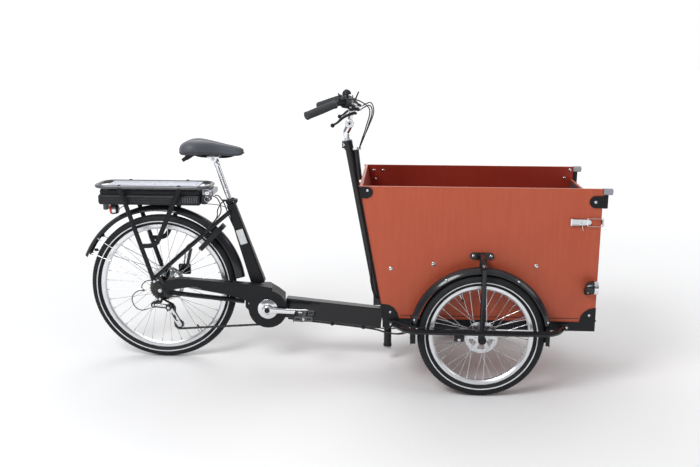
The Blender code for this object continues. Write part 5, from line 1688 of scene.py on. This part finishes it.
def toggle_lever(name, side):
    """Lever of a toggle latch, with its safety pin."""
    shape = Shape("bright_steel", "polished_alloy")
    y = side * 0.3185
    y0, y1 = sorted((side * 0.315, side * 0.3176))
    lever = [(1.7292, 0.7035), (1.733, 0.7015), (1.78, 0.7035), (1.806, 0.706), (1.811, 0.712),
        (1.811, 0.718), (1.806, 0.724), (1.78, 0.7265), (1.733, 0.7285), (1.7292, 0.7265)]
    shape.slab([lever], y0, y1, place=FROM_REAR)
    for z in (0.7026, 0.725):
        shape.block(at(1.731, side * 0.317, z), at(1.786, side * 0.32, z + 0.0022), 0.0006)
    shape.rod(at(1.733, y, 0.701), at(1.733, y, 0.729), 0.0034, sides=16, finish=1)
    shape.rod(at(1.796, y, 0.702), at(1.796, y, 0.728), 0.003, sides=14, finish=1)
    pin = [(1.77, y, 0.715), (1.776, y, 0.702), (1.778, y, 0.69), (1.782, y, 0.682)]
    shape.sweep(curve(pin, 5), 0.0016, 8)
    shape.piece("toggle_lever_" + name, "latch_lever_" + name, ["latch_lever_" + name])


def toggle_loop(name, side):
    """Wire loop of a toggle latch."""
    shape = Shape("bright_steel")
    wire = rounded_box((1.796, 0.699), (1.8585, 0.731), 0.007, 7)
    shape.sweep([at(x, side * 0.3185, z) for x, z in wire], 0.0016, 10, closed=True)
    shape.piece("toggle_loop_" + name, "latch_loop_" + name, ["latch_loop_" + name])


def headlamp_shell(name, side):
    """Headlamp with its shell, bowl, lens and foot."""
    lamp = at(1.82, side * 0.344, 0.456)
    shape = Shape("gloss_moulded", "chrome", "clear", "bright_steel", "satin_paint")
    shape.lathe([(0, -0.024), (0.01, -0.0236), (0.016, -0.021), (0.0225, -0.01), (0.027, 0.004),
        (0.0288, 0.014), (0.029, 0.0235), (0.0276, 0.024), (0.0268, 0.02), (0.0255, 0.014)], lamp,
        (1, 0, 0), 44)
    shape.lathe([(0.0255, 0.014), (0.02, 0.004), (0.011, -0.003), (0, -0.004)], lamp, (1, 0, 0), 44,
        finish=1)
    shape.lathe([(0, -0.002), (0.0038, -0.002), (0.0038, 0.006), (0, 0.008)], lamp, (1, 0, 0), 20,
        finish=3)
    shape.lathe([(0, 0.0196), (0.0266, 0.0196), (0.0266, 0.021), (0.018, 0.0226), (0, 0.0232)],
        lamp, (1, 0, 0), 44, finish=2)
    shape.lathe([(0.0272, 0.008), (0.0292, 0.0085), (0.0298, 0.0238), (0.0282, 0.0246)], lamp,
        (1, 0, 0), 44, closed=True, finish=1)
    shape.block(at(1.7985, side * 0.3105, 0.4205), at(1.8275, side * 0.33, 0.446), 0.0045, 3,
        finish=4)
    shape.bar(at(1.813, side * 0.324, 0.433), at(1.815, side * 0.335, 0.444), 0.014, 0.014, 0.003,
        finish=4)
    shape.screw(at(1.813, side * 0.33, 0.433), (0, side, 0), 0.0046, 0.004, finish=3)
    shape.piece("headlamp_shell_" + name, "front_frame", ["headlamp_" + name])


class BIKE_OT_front_fittings(Operator):
    """Corner brackets with reflectors, toggle latches and headlamps"""
    bl_idname = "cargo_bike.front_fittings"
    bl_label = "Front Fittings"

    def execute(self, context):
        for name, side in SIDES:
            corner_bracket(name, side)
            toggle_lever(name, side)
            toggle_loop(name, side)
            headlamp_shell(name, side)
        return {"FINISHED"}


# ---- handlebar -----------------------------------------------------------------------------------
def grip_point(side, along):
    """A point on a hand grip's axis, along metres from its inner end."""
    inner, outer = at(0.79, side * 0.175, 1.163), at(0.678, side * 0.275, 1.121)
    return inner + (outer - inner).normalized() * along


def on_steerer(z):
    """A point on the steering post's axis at height z."""
    return at(0.829 - (z - 0.978) * 0.1935, 0, z)


def stem_chrome():
    """Chrome stem and its clamps."""
    shape = Shape("chrome", "bright_steel", "cable")
    shape.rod(on_steerer(0.87), on_steerer(1.018), 0.0112, sides=40)
    neck = [on_steerer(1.01), at(0.8195, 0, 1.026), at(0.8225, 0, 1.036), at(0.829, 0, 1.05),
        at(0.835, 0, 1.064)]
    shape.sweep(smooth_route(neck, 4), [0.0135 + 0.003 * k / 16 for k in range(17)], 28)
    shape.rod(at(0.835, -0.018, 1.068), at(0.835, 0.018, 1.068), 0.0186, sides=44,
        round_edge=0.0016)
    arm = [at(0.8352, 0, 1.07), at(0.8375, 0, 1.09), at(0.841, 0, 1.112), at(0.844, 0, 1.13)]
    shape.sweep(smooth_route(arm, 4), [0.0158, 0.0154, 0.015, 0.0147, 0.0145, 0.0143, 0.0142,
        0.0142, 0.0143, 0.0145, 0.0148, 0.0152, 0.0156], 28, flat=0.86)
    shape.rod(at(0.845, -0.02, 1.135), at(0.845, 0.02, 1.135), 0.0192, sides=44, round_edge=0.002)
    for side in (-1, 1):
        shape.lathe([(0, 0), (0.0112, 0), (0.0108, 0.0014), (0.0046, 0.0016), (0.0042, -0.003),
            (0, -0.0032)], at(0.835, side * 0.018, 1.068), (0, side, 0), 28, finish=1)
        for z in (1.128, 1.146):
            shape.screw(at(0.863, side * 0.0115, z), (1, 0, 0), 0.0036, 0.004, finish=1)
    shape.block(at(0.859, -0.017, 1.122), at(0.864, 0.017, 1.15), 0.0022, 3)
    shape.lathe([(0.0118, 0), (0.0138, 0.0004), (0.0138, 0.008), (0.0128, 0.0092),
        (0.0118, 0.0094)], on_steerer(0.9958), (-0.19, 0, 1), 30, closed=True, finish=1)
    shape.piece("stem_chrome", "handlebar", ["stem"])


def bar_with_housings():
    """Handlebar with the housings, shifter and bell on it."""
    half = [(0.845, 0, 1.135), (0.845, 0.03, 1.135), (0.8475, 0.07, 1.144), (0.831, 0.13, 1.162),
        (0.79, 0.175, 1.163), tuple(grip_point(1, 0.06) - at(0, 0, 0)),
        tuple(grip_point(1, 0.15) - at(0, 0, 0))]
    path = [(x, -y, z) for x, y, z in reversed(half)] + half[1:]
    shape = Shape("satin_paint", "moulded", "bright_steel", "grey_moulded", "cable")
    shape.sweep(curve(path, 7), 0.0112, 22)
    for side in (-1, 1):
        along = (at(0.818, side * 0.146, 1.162) - at(0.836, side * 0.118, 1.156)).normalized()
        start = at(0.837, side * 0.1165, 1.1555)
        shape.rod(start, start + along * 0.011, 0.0165, sides=30, round_edge=0.0012, finish=1)
        shape.rod(start + along * 0.0125, start + along * 0.036, 0.0178, sides=30,
            round_edge=0.0014, finish=1)
        shape.bar(at(0.83, side * 0.129, 1.157), at(0.86, side * 0.123, 1.137), 0.022, 0.025, 0.007,
            3, finish=1)
        shape.rod(at(0.854, side * 0.123, 1.143), at(0.88, side * 0.1125, 1.133), 0.0072, 0.0058,
            20, round_edge=0.001, finish=1)
        shape.rod(at(0.879, side * 0.113, 1.1333), at(0.89, side * 0.107, 1.137), 0.0042, sides=14,
            finish=2)
        shape.screw(at(0.845, side * 0.1365, 1.146), (0.1, side, 0), 0.0034, 0.003, finish=2)
        shape.screw(start + along * 0.0055 + Vector((0.016, 0, 0)), (1, 0, 0), 0.003, 0.003,
            finish=2)
    shape.block(at(0.796, -0.166, 1.176), at(0.826, -0.144, 1.188), 0.0045, 3, finish=1)
    shape.rod(at(0.811, -0.155, 1.174), at(0.811, -0.155, 1.1905), 0.0105, 0.0095, 26,
        round_edge=0.001, finish=1)
    shape.rod(at(0.84, -0.085, 1.145), at(0.8285, -0.085, 1.194), 0.0048, sides=14, finish=1)
    shape.rod(at(0.84, -0.091, 1.149), at(0.84, -0.079, 1.149), 0.0135, sides=26, round_edge=0.001,
        finish=1)
    up = (at(0.824, -0.085, 1.208) - at(0.829, -0.085, 1.186)).normalized()
    shape.lathe([(0, 0.001), (0.016, 0.001), (0.0182, 0), (0.0192, 0.0022), (0.0188, 0.007),
        (0.0168, 0.013), (0.013, 0.018), (0.008, 0.0212), (0.0036, 0.0224), (0.0034, 0.0236),
        (0, 0.024)], at(0.828, -0.085, 1.193), up, 40, finish=1)
    shape.sweep(smooth_route([at(0.834, -0.085, 1.18), at(0.844, -0.09, 1.183),
        at(0.852, -0.097, 1.19)], 4), 0.0017, 10, finish=2)
    shape.dome(at(0.852, -0.097, 1.19), (0.6, -0.5, 0.6), 0.0034, 0.003, finish=4)
    shape.rod(at(0.844, 0.09, 1.148), at(0.8572, 0.09, 1.1692), 0.0048, sides=14, finish=1)
    shape.bar(at(0.855, 0.09, 1.164), at(0.869, 0.09, 1.197), 0.014, 0.006, 0.0022, 3, finish=1)
    shape.piece("bar_with_housings", "handlebar", ["handlebar"])


def ribbed_grip(name, side):
    """A ribbed hand grip."""
    start = grip_point(side, 0.006)
    way = grip_point(side, 1) - grip_point(side, 0)
    profile = [(0.0114, 0), (0.0176, 0), (0.0182, 0.0018), (0.0182, 0.0052), (0.016, 0.0072)]
    for k in range(26):
        low = 0.01 + 0.005 * k
        swell = 0.0007 * sin(pi * k / 25)
        profile += [(0.0152 + swell, low), (0.0163 + swell, low + 0.001),
            (0.0163 + swell, low + 0.003), (0.0152 + swell, low + 0.004)]
    profile += [(0.0166, 0.1416), (0.0174, 0.144), (0.017, 0.149), (0.013, 0.1515), (0, 0.152),
        (0, 0.146), (0.0114, 0.146)]
    shape = Shape("grip", "cable")
    shape.lathe(profile, start, way, 32, closed=True, shift=lambda step,
        i: -0.0006 if step % 8 == 0 and 5 <= i < 109 else 0)
    shape.piece("ribbed_grip_" + name, "handlebar", ["grip_" + name])


def brake_blade(name, side):
    """Blade of a brake lever with its ball end."""
    pivot = at(0.862, side * 0.124, 1.122)
    way = Vector((-0.083, side * 0.0865, -0.041)).normalized()
    blade = [pivot + Vector((0.002, 0, 0.002)), pivot + way * 0.018 + Vector((-0.001, 0, 0.003)),
        pivot + way * 0.045 + Vector((-0.002, 0, 0.006)), pivot + way * 0.075
        + Vector((-0.001, 0, 0.005)), pivot + way * 0.1 + Vector((0.001, 0, 0)), pivot + way * 0.126
        + Vector((-0.002, 0, -0.003))]
    route = smooth_route(blade, 5)
    shape = Shape("satin_paint", "moulded", "bright_steel")
    shape.sweep(route, [0.0074 + 0.0006 * min(k, 4) - 0.004 * min(1, k / 20)
        for k in range(len(route))], 16, flat=0.62, up=(0.35, 0, 1))
    tip = route[-1]
    shape.lathe([(0.009 * sin(pi * k / 12), -0.009 * cos(pi * k / 12)) for k in range(13)], tip,
        way, 24)
    shape.block(pivot - Vector((0.008, 0.0075, 0.006)), pivot + Vector((0.01, 0.0075, 0.004)),
        0.003, 3, finish=1)
    shape.rod(pivot - Vector((-0.002, 0, 0.0075)), pivot + Vector((0.002, 0, 0.0085)), 0.0036,
        sides=16, finish=2)
    shape.piece("brake_blade_" + name, "brake_lever_" + name,
        ["brake_lever_" + name])


def shifter_paddle():
    """Thumb paddle of the shifter."""
    shape = Shape("moulded", "bright_steel")
    shape.bar(at(0.8125, -0.156, 1.185), at(0.796, -0.156, 1.2035), 0.0155, 0.005, 0.0022, 3)
    for k in range(4):
        low = at(0.803 - 0.0022 * k, -0.156, 1.1982 + 0.0021 * k)
        shape.rod(low - aside(0.0068), low + aside(0.0068), 0.0012, sides=8)
    shape.rod(at(0.812, -0.164, 1.184), at(0.812, -0.148, 1.184), 0.005, sides=20,
        round_edge=0.0008)
    shape.screw(at(0.812, -0.164, 1.184), (0, -1, 0), 0.0028, 0.002, finish=1)
    shape.piece("shifter_paddle", "shifter", ["shifter_lever"])


class BIKE_OT_handlebar(Operator):
    """Stem, bar, grips, bell and the lever and shifter housings"""
    bl_idname = "cargo_bike.handlebar"
    bl_label = "Handlebar"

    def execute(self, context):
        stem_chrome()
        bar_with_housings()
        for name, side in SIDES:
            ribbed_grip(name, side)
            brake_blade(name, side)
        shifter_paddle()
        return {"FINISHED"}


# ---- cables --------------------------------------------------------------------------------------
def handlebar_cables():
    """Two brake cables and one gear cable."""
    shape = Shape("cable", "bright_steel", "moulded")
    runs = ([(0.882, -0.111, 1.134), (0.921, -0.085, 1.151), (0.932, -0.045, 1.12),
        (0.915, -0.02, 1.06), (0.895, -0.01, 1.005), (0.8765, -0.004, 0.96)],
        [(0.882, 0.111, 1.134), (0.922, 0.085, 1.15), (0.936, 0.042, 1.112), (0.914, 0.018, 1.05),
        (0.892, 0.01, 1), (0.8755, 0.005, 0.958)], [(0.826, -0.15, 1.181), (0.88, -0.12, 1.172),
        (0.922, -0.06, 1.13), (0.905, -0.022, 1.052), (0.888, -0.014, 1), (0.8745, -0.007, 0.956)])
    for run in runs:
        shape.sweep(curve(run, 8), sizes().cable, 12)
    top = at(0.8748, 0, 0.958)
    shape.lathe([(0, 0), (0.0108, 0), (0.0112, 0.002), (0.0095, 0.0085), (0.007, 0.01), (0, 0.01)],
        top, (0.19, 0, 1), 26, finish=1)
    shape.piece("handlebar_cables", "handlebar", ["steering_cables"])


def beam_cable_loops():
    """Loops under the beam."""
    shape = Shape("cable")
    low = [(0.56, 0.193), (0.7, 0.178), (0.85, 0.163), (0.96, 0.149), (1.02, 0.139), (1.08, 0.147),
        (1.106, 0.18), (1.086, 0.216), (1.045, 0.258)]
    for y, drop in ((-0.012, 0), (-0.006, 0.005), (0.01, 0.002)):
        shape.sweep([at(x + 2 * drop * (x > 1), y - (0.03 if y < 0 else -0.03) * min(1,
            max(0, (x - 0.95) / 0.1)), z - drop) for x, z in (tuple(p)
            for p in smooth_route([Vector((a, b)) for a, b in low], 7))], sizes().cable, 10)
    loops = shape.piece("beam_cable_loops", None, ["beam_cables"], ride=False)
    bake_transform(loops)


def post_cables():
    """Two cables behind the box."""
    shape = Shape("cable")
    for y, out in ((-1, 0), (1, 0.004)):
        run = [(0.928, y * 0.018, 0.47), (0.932 - out, y * 0.0215, 0.423),
            (0.934 - out, y * 0.022, 0.359), (0.949, y * 0.025, 0.31), (0.978, y * 0.034, 0.284),
            (1.012, y * 0.036, 0.274)]
        shape.sweep(curve(run, 6), sizes().cable, 10)
    shape.piece("post_cables", "front_frame")


def cable_clips():
    """Clips under the main beam."""
    shape = Shape("moulded", "bright_steel")
    for x in (0.62, 0.76, 0.9):
        z = 0.2442 - (x - 0.55) * 0.097 - 0.0468
        shape.block(at(x - 0.008, -0.02, z - 0.014), at(x + 0.008, 0.018, z), 0.004, 3)
        shape.screw(at(x, 0, z - 0.0138), (0, 0, -1), 0.0034, 0.003, finish=1)
    shape.piece("cable_clips", "main_frame")


class BIKE_OT_cables(Operator):
    """Brake and gear cables at the handlebar, and the loop under the main beam"""
    bl_idname = "cargo_bike.cables"
    bl_label = "Cables"

    def execute(self, context):
        handlebar_cables()
        beam_cable_loops()
        post_cables()
        cable_clips()
        return {"FINISHED"}


# ---- stage ---------------------------------------------------------------------------------------
class BIKE_OT_stage(Operator):
    """Pale floor, soft studio light and the camera"""
    bl_idname = "cargo_bike.stage"
    bl_label = "Stage"

    def execute(self, context):
        scene = context.scene
        scene.view_settings.view_transform = "Standard"
        world = bpy.data.worlds.new("Pale studio")
        world.use_nodes = True
        tree = world.node_tree
        way = add(tree, "SeparateXYZ", {0: add(tree, "TexCoord").outputs["Generated"]}).outputs
        side = add(tree, "MapRange", {0: way["Y"], 1: -0.15, 2: 0.7},
            interpolation_type="SMOOTHSTEP").outputs[0]
        above = ramp(tree, way["Z"], 0.3, 0.95, 0.55)
        seen = add(tree, "LightPath").outputs["Is Camera Ray"]
        share = math_node(tree, "MAXIMUM", math_node(tree, "MAXIMUM", side, above), seen)
        tree.links.new(mix_colour(tree, share, (0.2, 0.205, 0.22, 1), (1, 1, 1, 1)),
            tree.nodes["Background"].inputs["Color"])
        scene.world = world
        mesh = bpy.data.meshes.new("floor")
        bm = bmesh.new()
        bmesh.ops.create_circle(bm, cap_ends=True, segments=160, radius=40)
        bm.to_mesh(mesh)
        bm.free()
        mesh.materials.append(material("floor"))
        floor = bpy.data.objects.new("Floor", mesh)
        made = [floor]
        for name, spot, power, size in (("Key light", (-1.9, -3, 3.9), 150, 2.2),
                ("Front light", (4, -1.4, 2.6), 22, 2), ("Back light", (-0.6, 3.4, 3.2), 30, 2.4)):
            lamp = bpy.data.lights.new(name, "AREA")
            lamp.shape = "DISK"
            lamp.energy = power
            lamp.size = size
            light = bpy.data.objects.new(name, lamp)
            light.location = spot
            light.rotation_euler = (Vector((0.2, 0, 0.5)) - Vector(spot)).to_track_quat("-Z",
                "Y").to_euler()
            made.append(light)
        camera = bpy.data.objects.new("Camera", bpy.data.cameras.new("Camera"))
        camera.data.lens = sizes().lens
        camera.data.sensor_width = 36
        camera.location = (0.2697, -3.711, 1.42)
        camera.rotation_euler = [radians(a) for a in (90 - 12.67, -0.17, 3.18)]
        made.append(camera)
        for obj in made:
            scene.collection.objects.link(obj)
        scene.camera = camera
        return {"FINISHED"}


STEPS = (BIKE_OT_stage, BIKE_OT_wheels, BIKE_OT_chain, BIKE_OT_crankset, BIKE_OT_pedals,
    BIKE_OT_gears, BIKE_OT_box, BIKE_OT_frame, BIKE_OT_mudguards, BIKE_OT_seat, BIKE_OT_carrier,
    BIKE_OT_front_fittings, BIKE_OT_handlebar, BIKE_OT_cables)


class BIKE_PT_looks(Panel):
    """Colours, sizes and the steps that build the bicycle's looks"""
    bl_label = "Cargo Bicycle"
    bl_idname = "BIKE_PT_looks"
    bl_space_type = "VIEW_3D"
    bl_region_type = "UI"
    bl_category = "Cargo Bicycle"

    def draw(self, context):
        layout = self.layout
        for title, group in (("Colours", colours()), ("Sizes", sizes())):
            box = layout.box()
            box.label(text=title)
            for key in group.__annotations__:
                box.prop(group, key)
        column = layout.column(align=True)
        for step in STEPS:
            column.operator(step.bl_idname)


CLASSES = (BikeColours, BikeSizes) + STEPS + (BIKE_PT_looks,)


def register():
    for cls in CLASSES:
        bpy.utils.register_class(cls)
    bpy.types.Scene.bike_colours = PointerProperty(type=BikeColours)
    bpy.types.Scene.bike_sizes = PointerProperty(type=BikeSizes)


def unregister():
    del bpy.types.Scene.bike_sizes
    del bpy.types.Scene.bike_colours
    for cls in reversed(CLASSES):
        bpy.utils.unregister_class(cls)


def main():
    register()
    for step in STEPS:
        group, name = step.bl_idname.split(".")
        getattr(getattr(bpy.ops, group), name)()


if __name__ == "__main__":
    main()
